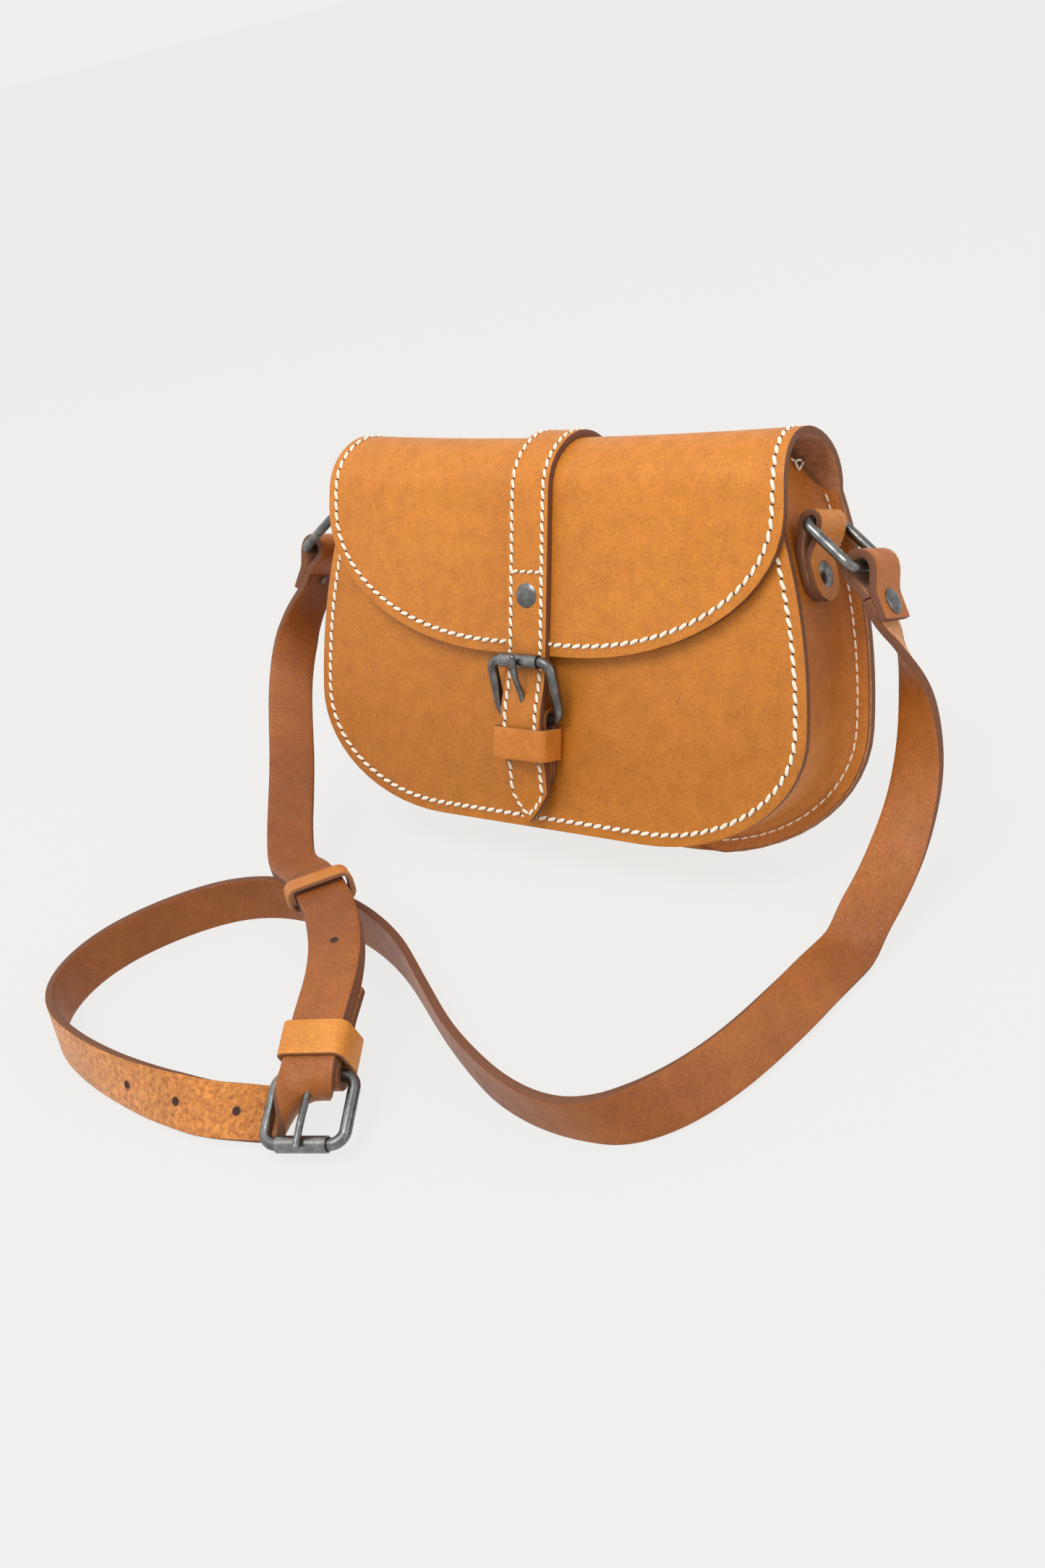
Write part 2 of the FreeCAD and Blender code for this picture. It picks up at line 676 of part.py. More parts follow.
def strap_solid(frames):
    wires = []
    for p, run, w, face in frames:
        u = V(w).multiply(HALF)
        v = V(face).multiply(STRAP / 2)
        ring = [p.add(u).add(v), p.sub(u).add(v), p.sub(u).sub(v), p.add(u).sub(v)]
        wires.append(Part.makePolygon(ring + [ring[0]]))
    return Part.makeLoft(wires, True, True)


def strap_node(name, frames, cutters=()):
    shape = strap_solid(frames)
    length = sum(b[0].sub(a[0]).Length for a, b in zip(frames, frames[1:]))
    print("%-18s length %.1f mm, volume %.0f, section x length %.0f, sections %d" % (
        name, length, shape.Volume, length * 2 * HALF * STRAP, len(frames)))
    for cutter in cutters:
        shape = shape.cut(cutter)
    return feature(name, shape), length


RIGHT_START = bag_point(end_point(END_LONG, -STRAP / 2 - LAYER_AIR, 1))
LEFT_START = bag_point(end_point(END_LONG, -STRAP / 2 - LAYER_AIR, -1))
RIGHT_RUN = bag_dir(V(END_DROP[0], 0, END_DROP[1]))
LEFT_RUN = bag_dir(V(-END_DROP[0], 0, END_DROP[1]))
DEPTH_DIR = bag_dir(V(0, 1, 0))

# Stations of the long strap: middle of the section, direction across the strap, lying on floor.
RIGHT_DROP = [
    (tuple(RIGHT_START), tuple(DEPTH_DIR), False),
    ((148.8, 19.0, 91.0), (-0.42, 0.84, -0.20), False),
    ((152.3, 18.5, 77.0), (-0.80, 0.55, 0.00), False),
    ((154.6, 13.0, 61.0), (-0.88, 0.43, 0.02), False),
    ((156.0, 5.0, 47.0), (-0.98, 0.20, 0.00), False),
    ((156.2, -8.0, 34.5), (-1.00, 0.05, 0.05), False),
    ((155.2, -25.0, 23.0), (-0.90, -0.25, 0.35), False),
    ((152.5, -41.0, 14.0), (-0.90, -0.20, 0.42), False),
    ((149.8, -60.0, 8.4), (-0.86, -0.10, 0.50), True),
]
FLOOR_RUN = [
    ((148.2, -84.0, 0), (-0.75, 0.00, 0.65), True),
    ((146.8, -108.5, 0), (-0.54, 0.05, 0.84), True),
    ((142.5, -129.5, 0), (-0.50, 0.25, 0.82), True),
    ((136.0, -148.5, 0), (-0.35, 0.40, 0.85), True),
    ((127.0, -164.0, 0), (-0.05, 0.20, 0.97), True),
    ((112.0, -172.5, 0), (0.25, -0.20, 0.95), True),
    ((93.5, -172.5, 0), (0.35, -0.28, 0.90), True),
    ((73.0, -167.0, 0), (0.40, -0.30, 0.86), True),
    ((46.0, -153.5, 0), (0.25, -0.30, 0.92), True),
    ((17.0, -134.0, 0), (0.08, -0.12, 0.99), True),
    ((-10.0, -115.0, 0), (0.0, 0.0, 1.0), True),
    ((-40.0, -102.0, 0), (0.0, 0.0, 1.0), True),
    ((-70.0, -96.0, 0), (0.0, 0.0, 1.0), True),
    ((-98.0, -96.5, 0), (0.0, 0.0, 1.0), True),
    ((-117.0, -104.0, 0), (0.0, 0.0, 1.0), True),
    ((-131.0, -119.0, 0), (0.0, 0.0, 1.0), True),
    ((-142.0, -138.0, 0), (0.0, 0.0, 1.0), True),
    ((-147.0, -157.0, 0), (0.0, 0.0, 1.0), True),
    ((-144.5, -177.0, 0), (0.0, 0.0, 1.0), True),
    ((-135.0, -194.0, 0), (0.0, 0.05, 1.0), True),
    ((-119.0, -204.5, 0), (0.0, 0.08, 1.0), True),
    ((-96.0, -211.5, 0), (0.0, 0.15, 0.98), True),
    ((-70.0, -215.5, 0), (0.0, 0.25, 0.96), True),
    ((-43.0, -216.5, 0), (0.0, 0.45, 0.88), True),
    ((-18.0, -213.0, 0), (-0.05, 0.75, 0.66), True),
]

# Shoulder buckle: heel bar middle, direction from the roller to the heel bar, bar direction.
BUCKLE_HEEL = V(15.6, -192.1, 17.5)
STACK_RUN = unit(V(-0.33, 0.84, 0.43))
STACK_WIDE = unit(V(0.93, 0.366, 0.0))
STACK_UP = STACK_WIDE.cross(STACK_RUN)
STRAP_BUCKLE = FreeCAD.Placement(BUCKLE_HEEL, FreeCAD.Rotation(
    V(STACK_WIDE).negative(), V(STACK_UP).negative(), V(STACK_RUN).negative(), "ZXY"))


def by_heel(along, up):
    """Point on the middle line of the stack, along it from the heel bar and up off it."""
    return BUCKLE_HEEL.add(V(STACK_RUN).multiply(along)).add(V(STACK_UP).multiply(up))


HEEL_WRAP = size("wire") + 0.3 + STRAP / 2
HUMP = [
    (tuple(by_heel(18.0, HEEL_WRAP - 0.2)), tuple(STACK_WIDE)),
    ((3.8, -162.5, 33.4), (0.88, 0.47, 0.0)),
    ((-5.6, -148.8, 36.4), (0.80, 0.60, 0.0)),
    ((-22.0, -133.0, 37.6), (0.66, 0.75, 0.0)),
    ((-64.0, -104.0, 31.6), (0.57, 0.82, 0.0)),
]


HUMP_RUN = unit(V(*HUMP[4][0]).sub(V(*HUMP[3][0])))


def lifted(points, index, up):
    """Station of a layer that lies up off the middle layer, square to it."""
    before = V(*points[max(index - 1, 0)][0])
    after = V(*points[min(index + 1, len(points) - 1)][0])
    run = unit(after.sub(before))
    wide = unit(V(*points[index][1]))
    face = wide.cross(run)
    return tuple(V(*points[index][0]).add(V(face).multiply(up)))


def curl_stations(start, run_in, wide_in, end, run_out, wide_out, pull, count):
    """The strap turning up through the buckle: a smooth curl from one station to the next."""
    rows = []
    for k in range(1, count):
        t = k / count
        h00 = 2 * t ** 3 - 3 * t ** 2 + 1
        h10 = t ** 3 - 2 * t ** 2 + t
        h01 = 3 * t ** 2 - 2 * t ** 3
        h11 = t ** 3 - t ** 2
        p = V(start).multiply(h00).add(V(run_in).multiply(h10 * pull)).add(
            V(end).multiply(h01)).add(V(run_out).multiply(h11 * pull))
        w = V(wide_in).multiply(1 - t).add(V(wide_out).multiply(t))
        rows.append((tuple(p), tuple(w), False))
    return rows


CURL_IN = V(4.5, -204.0, 6.0)
CURL_IN_RUN = unit(V(0.93, 0.22, 0.25))
CURL_IN_WIDE = unit(V(-0.22, 0.90, 0.38))
TIP_OVER_HEEL = by_heel(0.0, HEEL_WRAP + STEP)


def tip_stations():
    curl = curl_stations(CURL_IN, CURL_IN_RUN, CURL_IN_WIDE, TIP_OVER_HEEL, STACK_RUN, STACK_WIDE,
                         36.0, 7)
    return ([(tuple(CURL_IN), tuple(CURL_IN_WIDE), False)] + curl
            + [(tuple(TIP_OVER_HEEL), tuple(STACK_WIDE), False)])


def short_stations():
    under = [(lifted(HUMP, 1, -STEP), HUMP[1][1], False),
             (lifted(HUMP, 0, -STEP), HUMP[0][1], False),
             (tuple(by_heel(7.5, -HEEL_WRAP + 0.1)), tuple(STACK_WIDE), False),
             (tuple(by_heel(-HEEL_WRAP, -HEEL_WRAP)), tuple(STACK_WIDE), False),
             (tuple(by_heel(-HEEL_WRAP, HEEL_WRAP)), tuple(STACK_WIDE), False)]
    over = [(p, w, False) for p, w in HUMP]
    drop = [
        ((-88.5, -92.0, 24.8), (0.70, 0.71, 0.0), False),
        ((-103.0, -75.5, 30.0), (0.78, 0.62, -0.05), False),
        ((-113.0, -60.5, 38.0), (0.79, 0.59, -0.15), False),
        ((-123.5, -45.0, 47.0), (0.79, 0.58, -0.20), False),
        ((-134.5, -30.5, 56.0), (0.77, 0.60, -0.22), False),
        ((-144.0, -16.5, 66.0), (0.70, 0.68, -0.22), False),
        ((-150.0, -3.0, 77.5), (0.50, 0.82, -0.28), False),
        ((-150.5, 9.5, 90.5), (0.22, 0.92, -0.34), False),
        (tuple(LEFT_START), tuple(DEPTH_DIR), False),
    ]
    return under + over + drop


STRAP_PRONG = [(-3.35, 0.8), (-4.2, 9.0), (-4.9, 20.0), (-4.6, 28.0)]
FRONT_PRONG = [(-3.35, 0.8), (-2.9, 7.0), (-3.4, 12.5), (-4.9, 19.0), (-4.7, 26.0), (-4.2, 28.4)]


def prong_slot(wide, z0, z1, y0, y1):
    """Clear space for the prong, as a block in the shoulder buckle's own frame."""
    block = Part.makeBox(wide, y1 - y0, z1 - z0, V(-wide / 2, y0, z0))
    block.Placement = STRAP_BUCKLE
    return block


def nearest(frames, point):
    return min(range(len(frames)), key=lambda i: frames[i][0].sub(point).Length)


def make_shoulder_strap():
    stations = short_stations()
    short, radii, _ = sample_route(stations, {3: HEEL_WRAP, 4: HEEL_WRAP}, 15.0)
    short_frames = strap_frames(drop_close(short), last=V(LEFT_RUN).negative())
    print("short strap bend radii", [round(r, 1) for r in radii])
    strap_node("short_strap", short_frames, [prong_slot(5.4, -8.0, 9.0, -7.5, 8.0)])

    samples, radii, _ = sample_route(RIGHT_DROP + FLOOR_RUN + tip_stations()[:2], {}, 9.0)
    frames = strap_frames(drop_close(samples), first=RIGHT_RUN)
    print("long strap bend radii", [round(r) for r in radii])
    split = nearest(frames, V(*RIGHT_DROP[-1][0]))
    _, long_a = strap_node("strap_drop_right", frames[:split + 1])
    _, long_b = strap_node("strap_loop", frames[split:])

    curl, radii, _ = sample_route(tip_stations()[1:], {}, 9.0)
    tip = strap_frames(drop_close(curl), first=frames[-1][1], last=STACK_RUN)
    tip[0] = frames[-1]
    print("strap tip bend radii", [round(r) for r in radii])
    start = nearest(short_frames, by_heel(0.0, HEEL_WRAP))
    stop = nearest(short_frames, V(*HUMP[3][0]).add(V(HUMP_RUN).multiply(36.0)))
    for p, run, wide, face in short_frames[start + 1:stop + 1]:
        tip.append((p.add(V(face).multiply(STEP)), run, wide, face))
    _, long_c = strap_node("strap_tip", tip, [prong_slot(4.4, 1.5, 15.0, -12.0, 3.0)])
    print("long strap %.0f mm" % (long_a + long_b + long_c))


def keeper_loop(name, centre, run, wide, wide_mm, up0, up1, half, skin):
    """Closed leather band round the strap layers, between up0 and up1 off the centre."""
    z_axis = unit(run)
    x_axis = unit(V(wide).sub(V(z_axis).multiply(V(wide).dot(z_axis))))
    up = x_axis.cross(z_axis)
    turn = FreeCAD.Rotation(x_axis, V(up).negative(), z_axis, "ZXY")
    body = new_body(name, FreeCAD.Placement(centre, turn))
    sketch = sketch_on(body, name + "_section", "XY_Plane",
                       rounded_box(-half - skin, -up1 - skin, half + skin, -up0 + skin, 2.2)
                       + box_outline(-half, -up1, half, -up0), -wide_mm / 2)
    pad(body, sketch, "Sizes.keeper_wide")
    return body


# ---------------------------------------------------------------- build
make_front_panel()
make_back_panel()
make_gusset()
make_flap()
make_centre_strap()
make_centre_strap_back()
make_tongue()
make_chape()
make_keeper_front()
make_buckle("buckle", FRONT_BUCKLE, FRONT_PRONG)
make_buckle("strap_buckle", STRAP_BUCKLE, STRAP_PRONG)
rivet("flap_rivet", BAG.multiply(FreeCAD.Placement(V(0, MID - size("arch_in") - 2 * SKIN, 97),
                                                   FreeCAD.Rotation(V(1, 0, 0), 90))),
      size("cap_high"), 2 * SKIN + 0.2)
for side, sign in (("right", 1), ("left", -1)):
    make_tab("tab_" + side, sign)
    make_strap_end("strap_end_" + side, sign)
    wire_loop("ring_" + side, ring_placement(sign), HALF + 5.0, size("ring_reach"), 4.0,
              size("ring_wire"))
    tab_face = side_x(109, -1.5) + 0.2 + 2 * size("tab_skin")
    rivet("tab_rivet_" + side, BAG.multiply(FreeCAD.Placement(
        V(sign * tab_face, MID, 109), FreeCAD.Rotation(V(0, 1, 0), sign * (90 - 15)))),
        size("cap_high"), 7.0)
    head = end_point(14.5, STRAP + LAYER_AIR, sign)
    outward = V(-sign * END_DROP[1], 0, END_DROP[0])
    rivet("strap_rivet_" + side, BAG.multiply(FreeCAD.Placement(
        head, FreeCAD.Rotation(V(0, 0, 1), outward))), size("cap_high"), 2 * STRAP + 1.0)
make_shoulder_strap()
keeper_loop("keeper_lower", by_heel(9.6, 0), STACK_RUN, STACK_WIDE, 13.0,
            -6.3, HEEL_WRAP + STEP + STRAP / 2 + 0.5, HALF + 0.8, size("keeper_skin"))
UPPER_MID = V(*HUMP[3][0]).add(V(HUMP_RUN).multiply(25.0))
keeper_loop("keeper_upper", UPPER_MID, HUMP_RUN, V(0.615, 0.785, 0.0), 13.0,
            -STRAP / 2 - 0.7, STEP + STRAP / 2 + 1.6, HALF + 1.6, size("keeper_skin"))
doc.recompute()

# ---------------------------------------------------------------- checks and export
bad = [o.Name for o in doc.Objects if "Invalid" in o.State or "Error" in o.State]
if bad:
    raise RuntimeError("objects in error: %s" % bad)
nodes = [o for o in doc.Objects
         if o.TypeId == "PartDesign::Body" or (o.TypeId == "Part::Feature")]
faulty = [o.Label for o in nodes if o.Shape.isNull() or not o.Shape.isValid()]
if faulty:
    raise RuntimeError("shapes not valid: %s" % faulty)
for obj in nodes:
    if len(obj.Shape.Solids) != 1:
        print("note: %s has %d solids" % (obj.Label, len(obj.Shape.Solids)))
os.makedirs("parts", exist_ok=True)
for obj in nodes:
    box = obj.Shape.BoundBox
    print("%-20s vol %9.1f  x %7.1f %7.1f  y %7.1f %7.1f  z %7.1f %7.1f" % (
        obj.Label, obj.Shape.Volume, box.XMin, box.XMax, box.YMin, box.YMax, box.ZMin, box.ZMax))
    obj.Shape.exportStep("parts/%s.step" % obj.Label)
print("nodes", len(nodes))
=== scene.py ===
import bpy
import json
import math
from mathutils import Matrix, Vector, noise


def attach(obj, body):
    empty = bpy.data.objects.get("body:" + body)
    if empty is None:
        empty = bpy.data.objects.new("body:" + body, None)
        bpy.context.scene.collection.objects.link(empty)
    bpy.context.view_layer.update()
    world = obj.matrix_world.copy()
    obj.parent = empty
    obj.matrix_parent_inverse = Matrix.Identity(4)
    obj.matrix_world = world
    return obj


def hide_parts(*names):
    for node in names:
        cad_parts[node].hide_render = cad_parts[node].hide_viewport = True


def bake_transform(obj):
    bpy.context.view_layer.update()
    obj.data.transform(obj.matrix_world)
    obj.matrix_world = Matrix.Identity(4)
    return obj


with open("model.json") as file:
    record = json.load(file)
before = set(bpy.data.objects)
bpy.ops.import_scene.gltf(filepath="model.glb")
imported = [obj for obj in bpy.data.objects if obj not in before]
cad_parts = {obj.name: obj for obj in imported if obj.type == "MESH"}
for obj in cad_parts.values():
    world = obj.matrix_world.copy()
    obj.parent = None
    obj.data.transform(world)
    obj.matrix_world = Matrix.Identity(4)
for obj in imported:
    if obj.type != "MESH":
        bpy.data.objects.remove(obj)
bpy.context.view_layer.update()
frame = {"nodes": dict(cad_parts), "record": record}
NODES = frame["nodes"]
JOINTS = {j["name"]: j for j in frame["record"]["behaviour"]["joints"]}
V = Vector
MM = 0.001

# ---------------------------------------------------------------- frame of the bag (mm)
LEAN = math.radians(22.0)
COS = math.cos(LEAN)
SIN = math.sin(LEAN)
HINGE = V(JOINTS["flap_hinge"]["pos_m"]) / MM
SHOULDER = 140.0
BACK = 36.0
SKIN = 3.0
RIM = 8.0
MID = 16.0
HALF = 10.0
STITCH_INSET = 4.6
STRAP = 3.2
STEP = 3.55
HINGE_BACK = BACK + 2 * SKIN + 0.3
LEVEL = HINGE - V((0, HINGE_BACK * COS + SHOULDER * SIN, -HINGE_BACK * SIN + SHOULDER * COS))


def bag(x, y, z):
    """Point given across, back and up in the bag's own frame."""
    return V((x, y * COS + z * SIN, -y * SIN + z * COS)) + LEVEL


def bag_dir(x, y, z):
    """Direction given in the bag's own frame."""
    return V((x, y * COS + z * SIN, -y * SIN + z * COS))


FRONT = bag_dir(0, -1, 0)
REAR = bag_dir(0, 1, 0)


# ---------------------------------------------------------------- materials
def rgb(r, g, b):
    """Linear colour from the usual 0 to 255 values."""
    def lin(c):
        c /= 255.0
        return c / 12.92 if c <= 0.04045 else ((c + 0.055) / 1.055) ** 2.4
    return (lin(r), lin(g), lin(b), 1.0)


class Nodes:
    """A material and short ways to add to its node tree."""

    def __init__(self, name):
        self.mat = bpy.data.materials.new(name)
        self.mat.use_nodes = True
        self.tree = self.mat.node_tree
        self.bsdf = self.tree.nodes["Principled BSDF"]

    def add(self, kind, **values):
        node = self.tree.nodes.new(kind)
        for key, value in values.items():
            if key in node.inputs:
                node.inputs[key].default_value = value
            else:
                setattr(node, key, value)
        return node

    def link(self, a, out, b, into):
        self.tree.links.new(a.outputs[out], b.inputs[into])

    def ramp(self, source, out, stops):
        node = self.add("ShaderNodeValToRGB")
        bar = node.color_ramp.elements
        while len(bar) < len(stops):
            bar.new(0.5)
        for element, (place, colour) in zip(bar, stops):
            element.position = place
            element.color = colour
        self.link(source, out, node, "Fac")
        return node

    def mix(self, fac, a, b, blend="MIX"):
        node = self.add("ShaderNodeMix", data_type="RGBA", blend_type=blend)
        for value, index in ((fac, 0), (a, 6), (b, 7)):
            if isinstance(value, tuple) and hasattr(value[0], "outputs"):
                self.tree.links.new(value[0].outputs[value[1]], node.inputs[index])
            else:
                node.inputs[index].default_value = value
        return node


def noise_node(n, coords, scale, detail=4.0, rough=0.55):
    """Noise texture in object space."""
    node = n.add("ShaderNodeTexNoise", Scale=scale, Detail=detail, Roughness=rough)
    n.link(coords, "Object", node, "Vector")
    return node


def leather(name, light, dark, rough=0.42, grain=0.25, mottle=14.0, coat=0.06,
            shade_at_foot=1.0):
    """Smooth side of tan leather: cloudy colour, fine creases and pores, and painted shade that darkens it
    towards the bottom.
    """
    n = Nodes(name)
    co = n.add("ShaderNodeTexCoord")
    cloud = noise_node(n, co, mottle, 4.0, 0.5)
    spots = noise_node(n, co, 130.0, 5.0, 0.65)
    tone = n.ramp(cloud, "Fac", [(0.34, dark), (0.66, light)])
    shade = n.ramp(spots, "Fac", [(0.30, (0.80, 0.77, 0.74, 1)), (0.62, (1.05, 1.04, 1.03, 1))])
    mild = n.mix(0.7, (tone, "Color"), (shade, "Color"), "MULTIPLY")
    speck = noise_node(n, co, 900.0, 4.0, 0.7)
    dots = n.ramp(speck, "Fac", [(0.34, (0.66, 0.60, 0.54, 1)), (0.50, (1.0, 1.0, 1.0, 1)),
                                 (0.66, (1.16, 1.17, 1.18, 1))])
    speckled = n.mix(0.55, (mild, 2), (dots, "Color"), "MULTIPLY")
    # painted shade: colour multiplied down towards the bottom, from full at 0.145 m height to the given
    # factor at 0.05 m and below
    split = n.add("ShaderNodeSeparateXYZ")
    n.link(co, "Object", split, "Vector")
    painted_shade_by_height = n.add("ShaderNodeMapRange")
    for key, value in (("From Min", 0.05), ("From Max", 0.145), ("To Min", shade_at_foot), ("To Max", 1.0)):
        painted_shade_by_height.inputs[key].default_value = value
    n.link(split, "Z", painted_shade_by_height, "Value")
    base = n.mix(1.0, (speckled, 2), (painted_shade_by_height, "Result"), "MULTIPLY")
    n.link(base, 2, n.bsdf, "Base Color")
    pores = n.add("ShaderNodeTexVoronoi", Scale=900.0, feature="DISTANCE_TO_EDGE")
    n.link(co, "Object", pores, "Vector")
    cells = n.ramp(pores, "Distance", [(0.0, (0, 0, 0, 1)), (0.28, (1, 1, 1, 1))])
    wrinkle = noise_node(n, co, 330.0, 5.0, 0.6)
    height = n.mix(0.55, (cells, "Color"), (wrinkle, "Fac"))
    bump = n.add("ShaderNodeBump", Strength=grain, Distance=0.0006)
    n.link(height, 2, bump, "Height")
    broad = n.add("ShaderNodeBump", Strength=0.35, Distance=0.0015)
    soft = noise_node(n, co, 38.0, 3.0, 0.5)
    n.link(soft, "Fac", broad, "Height")
    n.link(bump, "Normal", broad, "Normal")
    n.link(broad, "Normal", n.bsdf, "Normal")
    sheen = n.ramp(spots, "Fac", [(0.25, (rough + 0.12,) * 3 + (1,)), (0.75, (rough - 0.08,) * 3 + (1,))])
    n.link(sheen, "Color", n.bsdf, "Roughness")
    n.bsdf.inputs["Specular IOR Level"].default_value = 0.36
    n.bsdf.inputs["Coat Weight"].default_value = coat
    n.bsdf.inputs["Coat Roughness"].default_value = 0.35
    return n.mat


def suede(name, light, dark, scale=420.0):
    """Flesh side: coarse granular nap."""
    n = Nodes(name)
    co = n.add("ShaderNodeTexCoord")
    nap = noise_node(n, co, scale, 8.0, 0.75)
    cloud = noise_node(n, co, 30.0, 4.0, 0.6)
    tone = n.ramp(nap, "Fac", [(0.36, dark), (0.60, light)])
    soft = n.ramp(cloud, "Fac", [(0.3, (0.82, 0.80, 0.78, 1)), (0.7, (1.08, 1.06, 1.04, 1))])
    base = n.mix(0.8, (tone, "Color"), (soft, "Color"), "MULTIPLY")
    n.link(base, 2, n.bsdf, "Base Color")
    bump = n.add("ShaderNodeBump", Strength=0.6, Distance=0.0006)
    n.link(nap, "Fac", bump, "Height")
    n.link(bump, "Normal", n.bsdf, "Normal")
    n.bsdf.inputs["Roughness"].default_value = 0.9
    n.bsdf.inputs["Sheen Weight"].default_value = 0.25
    return n.mat


def metal(name):
    """Antique nickel: dark with worn bright patches and fine scratches."""
    n = Nodes(name)
    co = n.add("ShaderNodeTexCoord")
    wear = noise_node(n, co, 260.0, 6.0, 0.6)
    geo = n.add("ShaderNodeNewGeometry")
    rub = n.ramp(geo, "Pointiness", [(0.47, (0, 0, 0, 1)), (0.56, (1, 1, 1, 1))])
    blotch = n.ramp(wear, "Fac", [(0.42, (0, 0, 0, 1)), (0.66, (1, 1, 1, 1))])
    mask = n.mix(0.5, (rub, "Color"), (blotch, "Color"))
    colour = n.mix((mask, 2), rgb(78, 80, 82), rgb(150, 150, 148))
    n.link(colour, 2, n.bsdf, "Base Color")
    rough = n.ramp(wear, "Fac", [(0.3, (0.42, 0.42, 0.42, 1)), (0.7, (0.24, 0.24, 0.24, 1))])
    n.link(rough, "Color", n.bsdf, "Roughness")
    bump = n.add("ShaderNodeBump", Strength=0.22, Distance=0.0004)
    n.link(wear, "Fac", bump, "Height")
    n.link(bump, "Normal", n.bsdf, "Normal")
    n.bsdf.inputs["Metallic"].default_value = 1.0
    return n.mat


def plain(name, colour, rough=0.8):
    """Fibrous single-coloured surface, for cut edges and thread."""
    n = Nodes(name)
    co = n.add("ShaderNodeTexCoord")
    fibre = noise_node(n, co, 700.0, 4.0, 0.6)
    dark = tuple(c * 0.78 for c in colour[:3]) + (1,)
    tone = n.ramp(fibre, "Fac", [(0.3, dark), (0.7, colour)])
    n.link(tone, "Color", n.bsdf, "Base Color")
    bump = n.add("ShaderNodeBump", Strength=0.4, Distance=0.0004)
    n.link(fibre, "Fac", bump, "Height")
    n.link(bump, "Normal", n.bsdf, "Normal")
    n.bsdf.inputs["Roughness"].default_value = rough
    return n.mat


# the bridle grain carries painted shade, a fifth darker near the floor
GRAIN = leather("bridle_grain", rgb(210, 131, 40), rgb(192, 114, 32), rough=0.44, mottle=6.0,
                shade_at_foot=0.80)
WALL = leather("gusset_grain", rgb(200, 124, 44), rgb(172, 98, 32), rough=0.5, grain=0.35, mottle=9.0)
STRAP_GRAIN = leather("strap_grain", rgb(164, 93, 32), rgb(128, 68, 22), rough=0.42, grain=0.4, mottle=11.0)
KEEPER = leather("keeper_grain", rgb(212, 136, 50), rgb(190, 114, 38), rough=0.45)
FLESH = suede("flesh_side", rgb(218, 142, 66), rgb(150, 84, 32), 480.0)
EDGE = plain("cut_edge", rgb(114, 68, 42), 0.7)
KEEPER_EDGE = plain("keeper_edge", rgb(150, 100, 66), 0.8)
LINING = suede("inside", rgb(190, 130, 84), rgb(150, 96, 58), 300.0)
THREAD = plain("thread", rgb(246, 238, 220), 0.75)
# dark discs of painted shade stand for needle holes and punched holes
HOLE_SHADE = plain("needle_hole_shade", rgb(60, 34, 22), 0.9)
METAL = metal("antique_nickel")
PAPER = rgb(239, 238, 236)

SKIN_SET = (GRAIN, EDGE, LINING)
WALL_SET = (WALL, EDGE, LINING)
STRAP_SET = (STRAP_GRAIN, EDGE, FLESH)
KEEPER_SET = (KEEPER, KEEPER_EDGE, FLESH)


# ---------------------------------------------------------------- meshes
def mesh_object(name, verts, faces, mats, smooth=True):
    mesh = bpy.data.meshes.new(name)
    mesh.from_pydata([tuple(V(v) * MM) for v in verts], [], faces)
    mesh.update()
    for mat in mats:
        mesh.materials.append(mat)
    for poly in mesh.polygons:
        poly.use_smooth = smooth
    obj = bpy.data.objects.new(name, mesh)
    bpy.context.collection.objects.link(obj)
    return obj


def skin(name, rows, thick, mats, centred=False, closed=False, bevel=0.45, flip=False):
    """Leather sheet over a grid of points; the grid is its smooth side, or its middle."""
    count = len(rows[0])
    verts = [p for row in rows for p in row]
    faces = []
    spans = len(rows) if closed else len(rows) - 1
    for i in range(spans):
        j = (i + 1) % len(rows)
        for k in range(count - 1):
            quad = (i * count + k, i * count + k + 1, j * count + k + 1, j * count + k)
            faces.append(quad[::-1] if flip else quad)
    obj = mesh_object(name, verts, faces, mats)
    solid = obj.modifiers.new("thickness", "SOLIDIFY")
    solid.thickness = thick * MM
    solid.offset = 0.0 if centred else -1.0
    solid.use_even_offset = True
    solid.material_offset = 2
    solid.material_offset_rim = 1
    if bevel:
        edge = obj.modifiers.new("edge", "BEVEL")
        edge.width = bevel * MM
        edge.segments = 2
        edge.limit_method = "ANGLE"
        edge.angle_limit = math.radians(50)
        edge.harden_normals = False
    return obj


def strip_rows(centres, wides, half, across=7):
    """Grid across a strip; half is its half width, a number or one per centre."""
    rows = []
    for i, (p, w) in enumerate(zip(centres, wides)):
        h = half[i] if isinstance(half, (list, tuple)) else half
        row = []
        for k in range(across):
            u = 2 * k / (across - 1) - 1
            row.append(p + w * (h * u))
        rows.append(row)
    return rows


def polyline_lengths(points):
    """Length run at each point of a line."""
    out = [0.0]
    for a, b in zip(points, points[1:]):
        out.append(out[-1] + (b - a).length)
    return out


def resample(points, step, normals):
    """Points and their normals at equal steps along a line."""
    run = polyline_lengths(points)
    count = max(2, int(round(run[-1] / step)) + 1)
    out = []
    j = 0
    for i in range(count):
        s = run[-1] * i / (count - 1)
        while j < len(run) - 2 and run[j + 1] < s:
            j += 1
        t = (s - run[j]) / max(run[j + 1] - run[j], 1e-9)
        p = points[j].lerp(points[j + 1], t)
        out.append((p, normals[j].lerp(normals[j + 1], t).normalized()))
    return out


